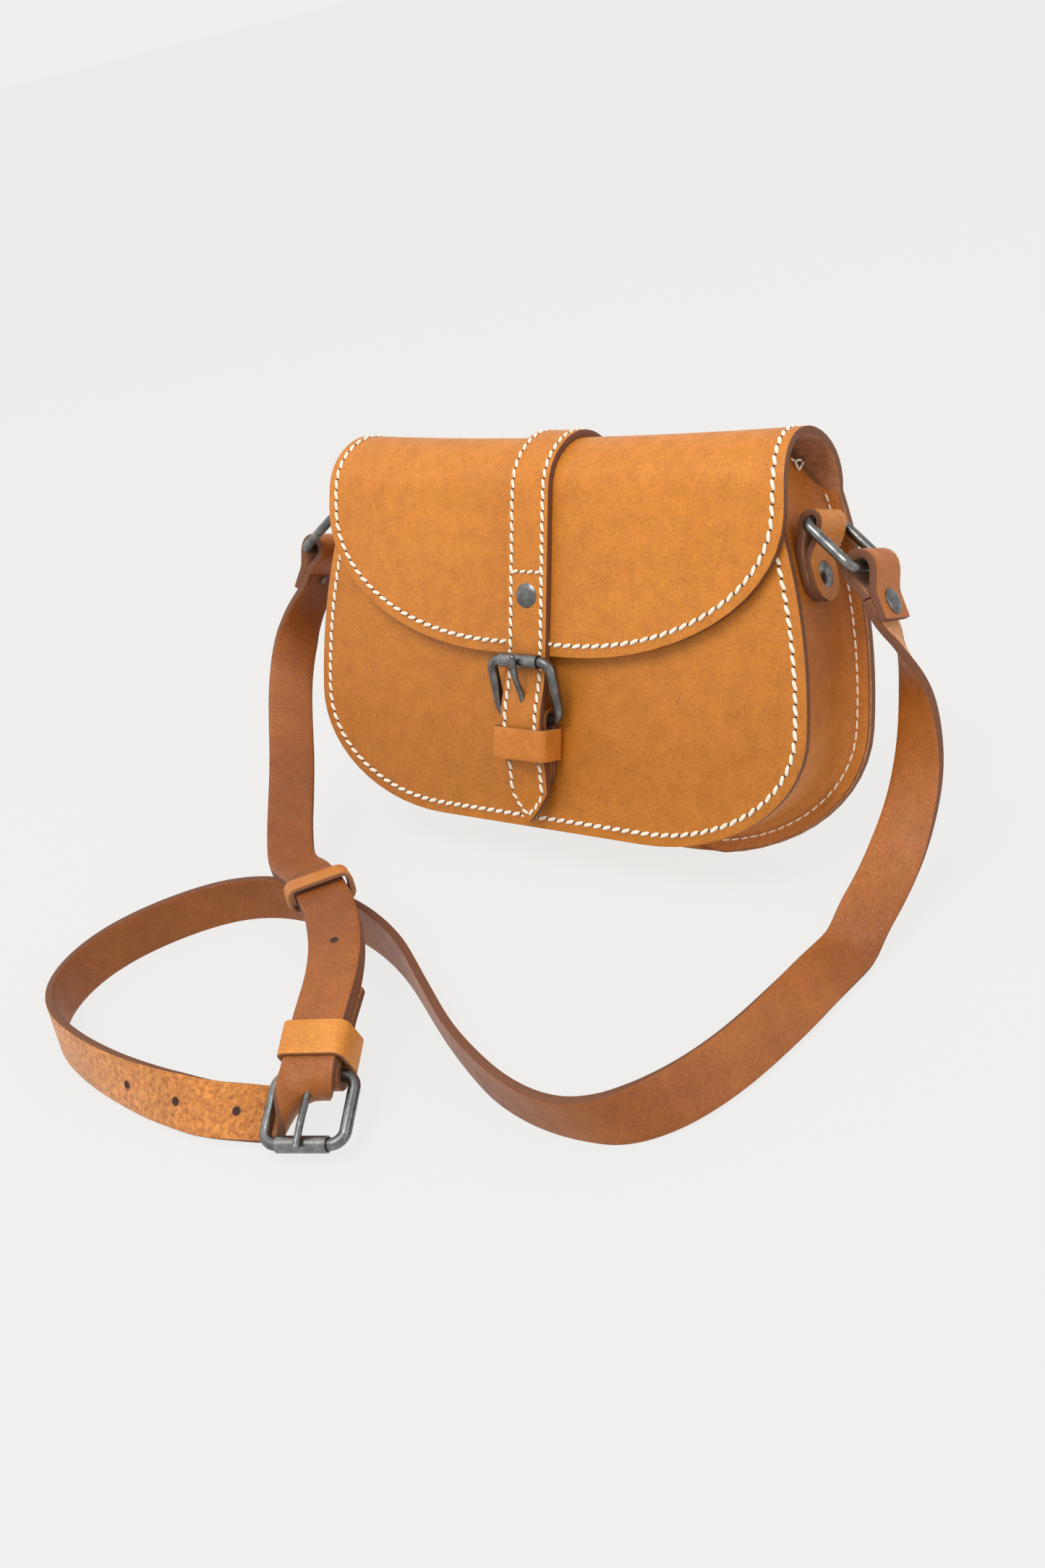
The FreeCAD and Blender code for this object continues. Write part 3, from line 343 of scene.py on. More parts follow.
def stitches(name, points, normals, body, pitch=4.6, long=4.2, fat=0.80, slant=17.0, hole_shades=True):
    """Saddle stitches along a line on a surface, with a flat dark disc of painted shade for the needle hole
    between each two.
    """
    spots = resample(points, pitch, normals)
    verts = []
    faces = []
    which = []
    ring = 6
    for i in range(len(spots) - 1):
        p, n = spots[i]
        q, m = spots[i + 1]
        mid = (p + q) / 2
        up = (n + m).normalized()
        run = (q - p).normalized()
        side = up.cross(run).normalized()
        lean = math.radians(slant + 5.0 * noise.noise(mid * 0.7))
        along = run * math.cos(lean) + side * math.sin(lean)
        across = up.cross(along)
        size = long * (1.0 + 0.06 * noise.noise(mid * 1.3))
        first = len(verts)
        profile = ((-0.5, 0.25), (-0.42, 0.75), (-0.2, 1.0), (0.2, 1.0), (0.42, 0.75), (0.5, 0.25))
        for u, r in profile:
            centre = mid + along * (u * size) + up * (0.30 * fat - abs(u) ** 3 * 2.4 * fat)
            for k in range(ring):
                a = 2 * math.pi * k / ring
                verts.append(centre + across * (math.cos(a) * fat * r) + up * (math.sin(a) * fat * r * 0.9))
        for j in range(len(profile) - 1):
            for k in range(ring):
                k2 = (k + 1) % ring
                faces.append((first + j * ring + k, first + j * ring + k2,
                              first + (j + 1) * ring + k2, first + (j + 1) * ring + k))
                which.append(0)
        faces.append(tuple(first + k for k in range(ring))[::-1])
        faces.append(tuple(first + (len(profile) - 1) * ring + k for k in range(ring)))
        which += [0, 0]
        # painted shade: a flat dark disc for the shaded needle hole
        if hole_shades:
            first = len(verts)
            for r, lift in ((0.70 * fat, 0.03), (0.0, 0.06)):
                for k in range(8):
                    a = 2 * math.pi * k / 8
                    verts.append(q + m * lift + along * (math.cos(a) * r) + across * (math.sin(a) * r))
            for k in range(8):
                k2 = (k + 1) % 8
                faces.append((first + k, first + k2, first + 8 + k2, first + 8 + k))
                which.append(1)
    obj = mesh_object(name, verts, faces, (THREAD, HOLE_SHADE))
    for poly, index in zip(obj.data.polygons, which):
        poly.material_index = index
    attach(obj, body)
    return obj


def tube(name, points, radius, mat, body, ring=8):
    """Round thread along points."""
    verts = []
    faces = []
    for i, p in enumerate(points):
        run = (points[min(i + 1, len(points) - 1)] - points[max(i - 1, 0)]).normalized()
        side = run.orthogonal().normalized()
        up = run.cross(side)
        for k in range(ring):
            a = 2 * math.pi * k / ring
            verts.append(p + side * (math.cos(a) * radius) + up * (math.sin(a) * radius))
    for i in range(len(points) - 1):
        for k in range(ring):
            k2 = (k + 1) % ring
            faces.append((i * ring + k, i * ring + k2, (i + 1) * ring + k2, (i + 1) * ring + k))
    faces.append(tuple(range(ring))[::-1])
    faces.append(tuple((len(points) - 1) * ring + k for k in range(ring)))
    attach(mesh_object(name, verts, faces, (mat,)), body)


# ---------------------------------------------------------------- outlines of the panels
FLAT_X = 52.0
CORNER_Z = 50.0
CORNER_A = 71.0
CORNER_B = 50.0
SIDE_R = 229.3
SIDE_X = FLAT_X + CORNER_A - SIDE_R


def side_x(z, out=0.0):
    """Half width of a panel above its corner, let out by a margin."""
    return SIDE_X + math.sqrt((SIDE_R + out) ** 2 - (z - CORNER_Z) ** 2)


def half_levels(out, top, corner_steps=14, side_steps=12):
    """Heights and half widths of a panel outline, from its foot to its top."""
    levels = [(CORNER_Z - CORNER_B - out, FLAT_X)]
    for k in range(1, corner_steps + 1):
        a = math.radians(-90 + 90.0 * k / corner_steps)
        levels.append((CORNER_Z + (CORNER_B + out) * math.sin(a),
                       FLAT_X + (CORNER_A + out) * math.cos(a)))
    for k in range(1, side_steps + 1):
        z = CORNER_Z + (top - CORNER_Z) * k / side_steps
        levels.append((z, side_x(z, out)))
    return levels


def u_outline(out, top, steps=18):
    """Points x, z round the U from top left to top right."""
    levels = half_levels(out, top, steps, steps)
    right = [(w, z) for z, w in levels]
    foot = [(FLAT_X * (2 * k / 16 - 1), levels[0][0]) for k in range(1, 16)]
    line = [(-x, z) for x, z in reversed(right)] + foot + right
    return line


def panel_rows(levels, face_y, across=61):
    """Grid over a panel's outline; face_y gives its depth at each place."""
    rows = []
    for z, w in levels:
        row = []
        for k in range(across):
            u = 2 * k / (across - 1) - 1
            x = w * u
            row.append(bag(x, face_y(x, z), z))
        rows.append(row)
    return rows


def front_y(x, z):
    """Front face: pitched forward a little, with soft undulations."""
    soft = 0.35 * noise.noise(V((x * 0.02, z * 0.025, 3.1)))
    return -0.026 * z + 0.15 + soft * min(1.0, (150 - z) / 60.0) * 0.5


def make_front_panel():
    rows = panel_rows(half_levels(0.0, SHOULDER), front_y)
    obj = skin("front_leather", rows, SKIN - 0.2, SKIN_SET)
    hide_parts("front_panel")
    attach(obj, "bag")
    pts = [bag(x, front_y(x, z), z) for x, z in u_outline(-STITCH_INSET, SHOULDER - 2)]
    stitches("front_stitches", pts, [FRONT] * len(pts), "bag")


# ---------------------------------------------------------------- gusset
def wall_top(y):
    """Top of the side wall, which follows the inside of the arch."""
    return SHOULDER + math.sqrt(max(0.0, 17.8 ** 2 - (y - MID) ** 2))


def make_gusset():
    """Side and bottom wall: sewn lip at the back, soft wall, lip behind the front panel."""
    profile = [(7.0, 35.2, 140.0), (4.0, 35.1, 140.0), (1.5, 34.9, 141.0), (0.0, 34.2, 143.0),
               (-1.0, 32.8, 0), (-1.5, 30.5, 0), (-1.6, 26.0, 0), (-1.6, 21.0, 0), (-1.6, 16.0, 0),
               (-1.6, 11.0, 0), (-1.6, 7.0, 0), (-1.7, 4.6, 0), (-2.6, 3.2, 147.0),
               (-4.5, 2.9, 139.0), (-9.0, 2.9, 139.0)]
    columns = []
    for out, y, top in profile:
        line = u_outline(out, top or wall_top(y), 22)
        column = []
        for x, z in line:
            lean = -0.026 * z * max(0.0, 1 - y / 30.0)
            dent = 0.0
            if -3 < out < -1:
                dent = 0.9 * noise.noise(V((x * 0.035, z * 0.05, y * 0.09)))
                dent += 1.1 * noise.noise(V((x * 0.015 + 5, z * 0.018, y * 0.05 + 2))) - 0.5
            dent *= max(0.0, min(1.0, (150.0 - z) / 14.0))
            tilt = math.atan2(z - 60.0, x) if abs(x) > 1 else -math.pi / 2
            column.append(bag(x + dent * math.cos(tilt), y + lean, z + dent * math.sin(tilt) * 0.6))
        columns.append(column)
    rows = [list(r) for r in zip(*columns)]
    obj = skin("gusset_leather", rows, 1.6, WALL_SET, bevel=0.3, flip=True)
    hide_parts("gusset")
    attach(obj, "bag")
    pts = [bag(x, 34.95, z) for x, z in u_outline(2.6, 139.0)]
    stitches("back_seam", pts, [FRONT] * len(pts), "bag", pitch=4.4, long=3.5, fat=0.42,
             slant=4.0, hole_shades=False)
    for sign in (-1, 1):
        top = []
        for y in range(6, 30, 2):
            z = wall_top(y) - 4.0
            top.append(bag(sign * (side_x(z, -1.5) + 0.4), y, z))
        out = [bag_dir(sign, 0, 0.4)] * len(top)
        stitches("hem_stitches_%s" % ("left" if sign < 0 else "right"), top, out, "bag", pitch=4.4,
                 long=3.8, fat=0.5, slant=3.0, hole_shades=False)
        side = "left" if sign < 0 else "right"
        z = wall_top(28.0) - 4.0
        knot = []
        for k in range(13):
            a = math.radians(30.0 * k + 40.0)
            knot.append(bag(sign * (side_x(z, -1.5) + 1.1 + 0.5 * math.sin(2 * a)),
                            28.0 + 2.4 * math.cos(a), z + 1.8 * math.sin(a)))
        tube("thread_knot_" + side, knot, 0.5, THREAD, "bag")


# ---------------------------------------------------------------- back panel and flap, one hide
FLAP_TOP = 163.0
FLAP_LOW = 73.0
FLAP_BEND = 130.0
FLAP_HALF = 113.0
FLAP_FLAT = 18.0
ARCH = 23.0


def flap_half(z):
    """Half width of the flap at a height."""
    radius = ((FLAP_TOP - FLAP_BEND) ** 2 + 16.0) / 8.0
    if z >= FLAP_BEND:
        return FLAP_HALF - (radius - math.sqrt(radius ** 2 - (z - FLAP_BEND) ** 2))
    a = FLAP_HALF - FLAP_FLAT
    b = FLAP_BEND - FLAP_LOW
    return FLAP_FLAT + a * math.sqrt(max(0.0, 1 - ((FLAP_BEND - z) / b) ** 2))


def sag(x, z):
    """How far the unsupported top dips between the gusset's two ends."""
    if z < 138:
        return 0.0
    return 2.6 * (1 - (x / 112.0) ** 2) * min(1.0, (z - 138) / 20.0)


def hide_rows():
    """Rows of outer-face points from the flap's lip, over the arch, down the back to the foot."""
    rows = []

    def row(half, place):
        rows.append([place(half * (2 * k / 60 - 1)) for k in range(61)])

    for k in range(15):
        a = math.radians(90.0 * k / 14)
        z = FLAP_BEND - (FLAP_BEND - FLAP_LOW) * math.cos(a)
        row(flap_half(z), lambda x, z=z: bag(x, MID - ARCH + leaf_wave(x, z), z))
    for z in (133.5, 137.0):
        row(flap_half(z), lambda x, z=z: bag(x, MID - ARCH + leaf_wave(x, z), z))
    for k in range(19):
        a = math.pi - math.pi * k / 18
        y = MID + ARCH * math.cos(a)
        z = SHOULDER + ARCH * math.sin(a)
        back = k / 18.0
        eased = flap_half(z) * (1 - back) + side_x(SHOULDER, RIM) * back
        half = flap_half(z) * (1 - back) + back * eased
        row(half, lambda x, y=y, z=z: bag(x, y, z - sag(x, z)))
    for z, w in reversed(half_levels(RIM, SHOULDER - 4)):
        row(w, lambda x, z=z: on_floor(bag(x, BACK + SKIN, z)))
    return rows


def on_floor(p):
    """The rear rim is worn flat where it stands."""
    return V((p.x, p.y, max(p.z, 0.05)))


def leaf_wave(x, z):
    """Small waves of the flap's front leaf, larger towards its lip."""
    lift = 0.45 * noise.noise(V((x * 0.022 + 7, z * 0.03, 1.7)))
    lip = max(0.0, (100.0 - z) / 30.0)
    return lift * (0.4 + lip) * min(1.0, (140 - z) / 20.0) - 0.3 * lip


BLEND_A = bag(0, 38.0, 133.0)
BLEND_B = BLEND_A + bag_dir(0, -0.978, 0.208).normalized() * 6.0


def flap_edge():
    """Line just inside the flap's edge: lip, ends, on its outer face, with normals."""
    pts = []
    nrm = []
    a0 = FLAP_HALF - FLAP_FLAT - STITCH_INSET
    b0 = FLAP_BEND - FLAP_LOW - STITCH_INSET
    side = []
    for k in range(25):
        a = math.radians(90.0 * k / 24)
        x = FLAP_FLAT + a0 * math.sin(a)
        z = FLAP_BEND - b0 * math.cos(a)
        side.append((x, MID - ARCH + leaf_wave(x, z) - 0.05, z, (0, -1, 0)))
    for z in (133.5, 137.0):
        side.append((flap_half(z) - STITCH_INSET, MID - ARCH - 0.05, z, (0, -1, 0)))
    for k in range(14):
        a = math.pi - math.radians(100.0) * k / 13
        y = MID + (ARCH + 0.05) * math.cos(a)
        z = SHOULDER + (ARCH + 0.05) * math.sin(a)
        x = flap_half(z) - STITCH_INSET + 0.4
        side.append((x, y, z - sag(x, z), (0, math.cos(a), math.sin(a))))
    for x, y, z, n in reversed(side):
        pts.append(bag(-x, y, z))
        nrm.append(bag_dir(*n))
    for x, y, z, n in side:
        pts.append(bag(x, y, z))
        nrm.append(bag_dir(*n))
    return pts, nrm


def make_hide():
    obj = skin("flap_and_back", hide_rows(), SKIN, SKIN_SET)
    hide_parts("flap", "back_panel")
    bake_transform(obj)
    pts, nrm = flap_edge()
    stitches("flap_stitches", pts, nrm, "lid")
    pts = [bag(x, BACK + SKIN + 0.05, z) for x, z in u_outline(RIM - 7.4, SHOULDER - 6)]
    stitches("back_stitches", pts, [REAR] * len(pts), "bag")


# ---------------------------------------------------------------- flat strips
def strip(name, centres, wides, half, thick, mats, nodes, body, across=7, flip=False):
    """Flat strap along its centreline; a body of None leaves the piece to be blended."""
    obj = skin(name, strip_rows(centres, wides, half, across), thick, mats, centred=True, flip=flip)
    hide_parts(*nodes)
    if body:
        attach(obj, body)
    return obj


def faces_of(centres, wides):
    """Direction square to a strap's face at each centre."""
    out = []
    for i, w in enumerate(wides):
        a = centres[max(i - 1, 0)]
        b = centres[min(i + 1, len(centres) - 1)]
        out.append(w.cross((b - a).normalized()))
    return out


def edge_stitches(name, centres, wides, inset, lift, body, sign=1, last=0.0, **more):
    """A row of stitches along both edges of a strip."""
    faces = faces_of(centres, wides)
    run = polyline_lengths(centres)
    for tag, side in (("a", -1), ("b", 1)):
        pts = []
        nrm = []
        for p, w, f, s in zip(centres, wides, faces, run):
            if s > run[-1] - last:
                continue
            pts.append(p + w * (side * (HALF - inset)) + f * (sign * lift))
            nrm.append(f * sign)
        stitches(name + "_" + tag, pts, nrm, body, **more)


def smooth_path(points, step=1.5):
    """Catmull-Rom line through points."""
    out = []
    ends = [points[0] * 2 - points[1]] + list(points) + [points[-1] * 2 - points[-2]]
    for i in range(1, len(ends) - 2):
        a, b, c, d = ends[i - 1:i + 3]
        count = max(1, int((c - b).length / step))
        for k in range(count):
            t = k / count
            out.append(0.5 * ((2 * b) + (c - a) * t + (2 * a - 5 * b + 4 * c - d) * t * t
                              + (3 * b - a - 3 * c + d) * t ** 3))
    out.append(V(points[-1]))
    return out


TONGUE = [(-8.8, 72.0), (-9.0, 67.0), (-9.7, 60.0), (-11.3, 53.5), (-12.1, 47.0), (-11.7, 42.5),
          (-10.5, 37.5), (-8.6, 30.0), (-6.8, 20.0), (-5.9, 12.0), (-5.2, 3.6)]


def make_closure_strap():
    """One strap from the middle of the back, over the flap, to the point through the buckle."""
    gap = SKIN / 2 + 0.05
    path = [V((0, BACK + SKIN + gap, z)) for z in (108.0, 116.0, 124.0, 132.0)]
    for k in range(19):
        a = math.pi * k / 18
        z = SHOULDER + (ARCH + gap) * math.sin(a)
        path.append(V((0, MID + (ARCH + gap) * math.cos(a), z - sag(0, z))))
    path += [V((0, MID - ARCH - gap - 0.2, z)) for z in (132.0, 120.0, 108.0, 96.0, 84.0)]
    path += [V((0, y, z)) for y, z in TONGUE]
    fine = smooth_path(path, 1.6)
    run = polyline_lengths(fine)
    half = []
    for s in run:
        left = run[-1] - s
        half.append(HALF if left > 13.0 else max(0.4, HALF * (left / 13.0) ** 0.8))
    centres = [bag(*p) for p in fine]
    wides = [V((1, 0, 0))] * len(centres)
    obj = strip("closure_strap", centres, wides, half, SKIN, SKIN_SET,
                ("centre_strap", "centre_strap_back", "closure_tongue"), None, flip=True)
    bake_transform(obj)
    over = [i for i, p in enumerate(fine) if not (p.y > 20 and p.z < SHOULDER + 8)]
    part = centres[over[0]:]
    edge_stitches("closure_edge", part, wides[over[0]:], 2.4, SKIN / 2 + 0.05, "lid", sign=-1,
                  last=13.0, pitch=4.3, long=3.9, fat=0.72)
    tail = [bag(0, BACK + SKIN + 2 * gap, z) for z in (110.0, 116.0, 122.0, 128.0, 136.0)]
    for tag, side in (("a", -1), ("b", 1)):
        pts = [p + V((side * 7.6, 0, 0)) for p in tail]
        stitches("tail_edge_" + tag, pts, [REAR] * len(pts), "bag", pitch=4.2, long=3.0,
                 fat=0.45)
    bar = [bag(x, MID - ARCH - SKIN - 0.5, 106.5) for x in (-7.5, -2.5, 2.5, 7.5)]
    stitches("closure_bar", bar, [FRONT] * 4, "lid", pitch=3.8, long=3.2, fat=0.6)
    tip = [bag(x, y, z) for x, y, z in ((-7.6, -7.4, 15.5), (-4.0, -7.0, 10.0), (0, -6.9, 6.6),
                                       (4.0, -7.0, 10.0), (7.6, -7.4, 15.5))]
    stitches("closure_point", tip, [FRONT] * 5, "lid", pitch=4.0, long=3.4, fat=0.66)


HEEL = (-5.8, 47.0)


def make_chape():
    rad = 2.5 + 0.9
    arc = [V((0, HEEL[0] + rad * math.cos(math.radians(t)), HEEL[1] + rad * math.sin(math.radians(t))))
           for t in range(0, 181, 20)]
    under = [V((0, y, z)) for y, z in ((-1.75, 16), (-1.9, 24), (-2.1, 32), (-2.4, 40))]
    over = [V((0, y, z)) for y, z in ((-8.6, 42.5), (-6.4, 37), (-4.9, 32.5), (-4.1, 27), (-3.8, 20),
                                      (-3.5, 15))]
    fine = smooth_path(under + arc + over, 1.2)
    run = polyline_lengths(fine)
    half = []
    for s in run:
        end = min(run[-1] - s, s)
        half.append(HALF if end > 11.0 else 5.6 + 4.4 * math.sin(math.pi / 2 * end / 11.0))
    centres = [bag(*p) for p in fine]
    wides = [V((1, 0, 0))] * len(centres)
    strip("chape_leather", centres, wides, half, 1.8, SKIN_SET, ("chape",), "bag", flip=True)
    for side in (-1, 1):
        pts = [bag(side * 7.8, -4.85, 28.0), bag(side * 7.4, -4.75, 20.0)]
        stitches("chape_edge_%s" % ("l" if side < 0 else "r"), pts, [FRONT] * 2, "bag",
                 pitch=3.4, long=2.5, fat=0.36)


def rounded_section(x0, y0, x1, y1, r, steps=5):
    """Closed rounded rectangle, as pairs."""
    out = []
    for cx, cy, start in ((x1 - r, y1 - r, 0), (x0 + r, y1 - r, 90), (x0 + r, y0 + r, 180),
                          (x1 - r, y0 + r, 270)):
        for k in range(steps):
            a = math.radians(start + 90.0 * k / (steps - 1))
            out.append((cx + r * math.cos(a), cy + r * math.sin(a)))
    return out


KEEPER_THICK = 1.8


def keeper_band(name, node, body, place, section, wide, flip=False):
    """Closed band: section is its middle line, place maps (across, up, along) to a point."""
    rows = []
    for a, b in section:
        row = []
        for k in range(7):
            u = 2 * k / 6 - 1
            row.append(place(a, b, u * wide / 2))
        rows.append(row)
    obj = skin(name, rows, KEEPER_THICK, KEEPER_SET, centred=True, closed=True, bevel=0.35, flip=flip)
    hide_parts(node)
    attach(obj, body)
    return obj


def make_front_keeper():
    section = rounded_section(-12.6, -15.0, 12.6, -1.6, 2.6)
    keeper_band("front_keeper_leather", "keeper_front", "bag",
                lambda a, b, c: bag(a, b, 37.0 + c), section, 13.0, flip=True)


# ---------------------------------------------------------------- tabs and strap ends
TAB_BAR = (117.0, 128.0)
RING_DROP = (0.781, -0.6247)
END_BAR = (TAB_BAR[0] + RING_DROP[0] * 25.6, TAB_BAR[1] + RING_DROP[1] * 25.6)
END_DROP = (0.42, -0.9075)
LAYER = STRAP / 2 + 0.25
JOIN = 11.5


def make_tab(side, sign):
    thick = 2.4
    rad = 2.4 + thick / 2
    arc = [(TAB_BAR[0] - rad * math.cos(math.radians(t)), TAB_BAR[1] + rad * math.sin(math.radians(t)))
           for t in range(0, 181, 20)]
    inner = [(side_x(z, -1.5) + 1.55, z) for z in (99, 105, 111, 117)]
    outer = [(side_x(z, -1.5) + 4.5, z) for z in (114.5, 109, 104, 99)]
    line = (inner + [(TAB_BAR[0] - rad - 0.1, 123.0)] + arc
            + [(TAB_BAR[0] + rad - 0.7, 123.4), (TAB_BAR[0] + rad - 2.6, 119.0)] + outer)
    fine = smooth_path([V((x, MID, z)) for x, z in line], 1.3)
    half = [HALF if p.z > 109 else max(1.0, math.sqrt(max(0.0, 100 - (109 - p.z) ** 2))) for p in fine]
    centres = [bag(sign * p.x, p.y, p.z) for p in fine]
    wides = [REAR] * len(centres)
    strip("tab_leather_" + side, centres, wides, half, thick, SKIN_SET, ("tab_" + side,), "bag",
          flip=sign > 0)


def end_at(along, across, sign):
    """Point by the ring's outer bar, along the hanging strap and across it."""
    side = (-END_DROP[1], END_DROP[0])
    return bag(sign * (END_BAR[0] + END_DROP[0] * along + side[0] * across), MID,
               END_BAR[1] + END_DROP[1] * along + side[1] * across)


def make_strap_end(side, sign):
    rad = 3.8 + STRAP / 2
    close = LAYER
    ease = [(p, (1 + math.cos(math.pi * p)) / 2) for p in (0.3, 0.6, 0.85, 1.0)]
    tail = [(21.0, close), (16.0, close)] + [(JOIN * p, close + (rad - close) * e)
                                             for p, e in reversed(ease)]
    arc = [(-rad * math.sin(math.radians(t)), rad * math.cos(math.radians(t)))
           for t in range(0, 181, 20)]
    main = [(JOIN * p, -close - (rad - close) * e) for p, e in ease]
    centres = smooth_path([end_at(a, b, sign) for a, b in tail + arc + main], 1.3)
    wides = [REAR] * len(centres)
    strip("strap_end_leather_" + side, centres, wides, HALF, STRAP, WALL_SET,
          ("strap_end_" + side,), "bag", flip=sign < 0)


# ---------------------------------------------------------------- shoulder strap routes
def unit(v):
    """Same direction, length one."""
    return V(v).normalized()


def corner_arc(a, p, b, radius):
    """Arc that rounds the corner at p: start, centre, angle and axis."""
    into = unit(p - a)
    away = unit(b - p)
    turn = into.angle(away)
    short = min((p - a).length, (b - p).length)
    if radius is None:
        radius = 0.45 * short / math.tan(turn / 2)
    axis = into.cross(away).normalized()
    start = p - into * (radius * math.tan(turn / 2))
    return start, start + axis.cross(into) * radius, turn, axis


def sample_route(stations, radii=None, fine=6.0):
    """Points and width directions along straight runs joined by tangent arcs."""
    radii = radii or {}
    pts = [V(s[0]) for s in stations]
    wide = [unit(s[1]) for s in stations]
    lying = [s[2] for s in stations]
    out = [(pts[0], wide[0], lying[0])]
    for i in range(1, len(pts) - 1):
        start, centre, turn, axis = corner_arc(pts[i - 1], pts[i], pts[i + 1], radii.get(i))
        count = max(2, int(math.ceil(math.degrees(turn) / fine)) + 1)
        for k in range(count + 1):
            spin = Matrix.Rotation(turn * k / count, 3, axis)
            part = 0.45 * (k / count - 0.5)
            near = i + (1 if part > 0 else -1)
            w = wide[i] * (1 - abs(part)) + wide[near] * abs(part)
            out.append((centre + spin @ (start - centre), w, lying[i]))
    out.append((pts[-1], wide[-1], lying[-1]))
    kept = [out[0]]
    for s in out[1:]:
        if (s[0] - kept[-1][0]).length > 0.8:
            kept.append(s)
    return kept


CALM_PASSES = 14


def even_frames(samples, step=2.6, soften=2, calm=0.0):
    """Evenly spaced centres and width directions, smoothed, resting on the floor where lying."""
    run = polyline_lengths([s[0] for s in samples])
    count = int(run[-1] / step) + 1
    pts = []
    wid = []
    low = []
    j = 0
    for i in range(count + 1):
        s = run[-1] * i / count
        while j < len(run) - 2 and run[j + 1] < s:
            j += 1
        t = (s - run[j]) / max(run[j + 1] - run[j], 1e-9)
        pts.append(samples[j][0].lerp(samples[j + 1][0], t))
        wid.append(samples[j][1].lerp(samples[j + 1][1], t))
        low.append((1 - t) * samples[j][2] + t * samples[j + 1][2])
    for _ in range(soften * 3):
        wid = [wid[0]] + [(a + b * 2 + c) / 4 for a, b, c in zip(wid, wid[1:], wid[2:])] + [wid[-1]]
        low = [low[0]] + [(a + b * 2 + c) / 4 for a, b, c in zip(low, low[1:], low[2:])] + [low[-1]]
    for _ in range(soften):
        pts = [pts[0]] + [(a + b * 2 + c) / 4 for a, b, c in zip(pts, pts[1:], pts[2:])] + [pts[-1]]
    last = int(calm / step)
    for _ in range(CALM_PASSES if last else 0):
        pts = [pts[0]] + [(pts[i - 1] + pts[i] * 2 + pts[i + 1]) / 4 if 6 < i < last else pts[i]
                          for i in range(1, len(pts) - 1)] + [pts[-1]]
        wid = [wid[0]] + [(wid[i - 1] + wid[i] * 2 + wid[i + 1]) / 4 if 6 < i < last else wid[i]
                          for i in range(1, len(wid) - 1)] + [wid[-1]]
    frames = []
    for i, p in enumerate(pts):
        a = pts[max(i - 1, 0)]
        b = pts[min(i + 1, len(pts) - 1)]
        run_dir = unit(b - a)
        w = unit(wid[i] - run_dir * wid[i].dot(run_dir))
        face = w.cross(run_dir)
        rest = HALF * abs(w.z) + STRAP / 2 * abs(face.z) + 0.05
        if low[i] > 0:
            p = V((p.x, p.y, rest * low[i] + p.z * (1 - low[i])))
        frames.append((p, w, face))
    return frames


RIGHT_START = end_at(18.0, -LAYER, 1)
LEFT_START = end_at(18.0, -LAYER, -1)
DEPTH_DIR = REAR
RIGHT_DROP = [
    (RIGHT_START, DEPTH_DIR, 0),
    ((148.8, 19.0, 91.0), (-0.42, 0.84, -0.20), 0),
    ((152.3, 18.5, 77.0), (-0.80, 0.55, 0.00), 0),
    ((154.6, 13.0, 61.0), (-0.88, 0.43, 0.02), 0),
    ((156.0, 5.0, 47.0), (-0.98, 0.20, 0.00), 0),
    ((156.2, -8.0, 34.5), (-1.00, 0.05, 0.05), 0),
    ((155.2, -25.0, 23.0), (-0.90, -0.25, 0.35), 0),
    ((152.5, -41.0, 14.0), (-0.90, -0.20, 0.42), 0),
]
FLOOR_RUN = [
    ((149.8, -60.0, 8.4), (-0.86, -0.10, 0.50), 1),
    ((148.2, -84.0, 7.0), (-0.75, 0.00, 0.65), 1),
    ((146.8, -108.5, 9.0), (-0.54, 0.05, 0.84), 1),
    ((142.5, -129.5, 9.0), (-0.50, 0.25, 0.82), 1),
    ((136.0, -148.5, 9.0), (-0.35, 0.40, 0.85), 1),
    ((127.0, -164.0, 10.0), (-0.05, 0.20, 0.97), 1),
    ((112.0, -172.5, 10.0), (0.25, -0.20, 0.95), 1),
    ((93.5, -172.5, 10.0), (0.35, -0.28, 0.90), 1),
    ((73.0, -167.0, 10.0), (0.40, -0.30, 0.86), 1),
    ((46.0, -153.5, 10.0), (0.25, -0.30, 0.92), 1),
    ((17.0, -134.0, 10.0), (0.08, -0.12, 0.99), 1),
    ((-10.0, -115.0, 10.0), (0.0, 0.0, 1.0), 1),
    ((-40.0, -102.0, 10.0), (0.0, 0.0, 1.0), 1),
    ((-70.0, -96.0, 10.0), (0.0, 0.0, 1.0), 1),
    ((-98.0, -96.5, 10.0), (0.0, 0.0, 1.0), 1),
    ((-117.0, -104.0, 10.0), (0.0, 0.0, 1.0), 1),
    ((-131.0, -119.0, 10.0), (0.0, 0.0, 1.0), 1),
    ((-142.0, -138.0, 10.0), (0.0, 0.0, 1.0), 1),
    ((-147.0, -157.0, 10.0), (0.0, 0.0, 1.0), 1),
    ((-144.5, -177.0, 10.0), (0.0, 0.0, 1.0), 1),
    ((-135.0, -194.0, 10.0), (0.0, 0.05, 1.0), 1),
    ((-119.0, -204.5, 10.0), (0.0, 0.08, 1.0), 1),
    ((-96.0, -211.5, 10.0), (0.0, 0.15, 0.98), 1),
    ((-70.0, -215.5, 10.0), (0.0, 0.25, 0.96), 1),
    ((-43.0, -216.5, 9.5), (0.0, 0.45, 0.88), 1),
    ((-18.0, -213.0, 7.5), (-0.05, 0.75, 0.66), 1),
]
BUCKLE_HEEL = V(JOINTS["shoulder_frame_tilt"]["pos_m"]) / MM
STACK_WIDE = -unit(JOINTS["shoulder_frame_tilt"]["axis"])
STACK_RUN = unit(BUCKLE_HEEL - V(JOINTS["shoulder_roller_spin"]["pos_m"]) / MM)
STACK_UP = STACK_WIDE.cross(STACK_RUN)
HEEL_WRAP = 2.5 + STRAP / 2


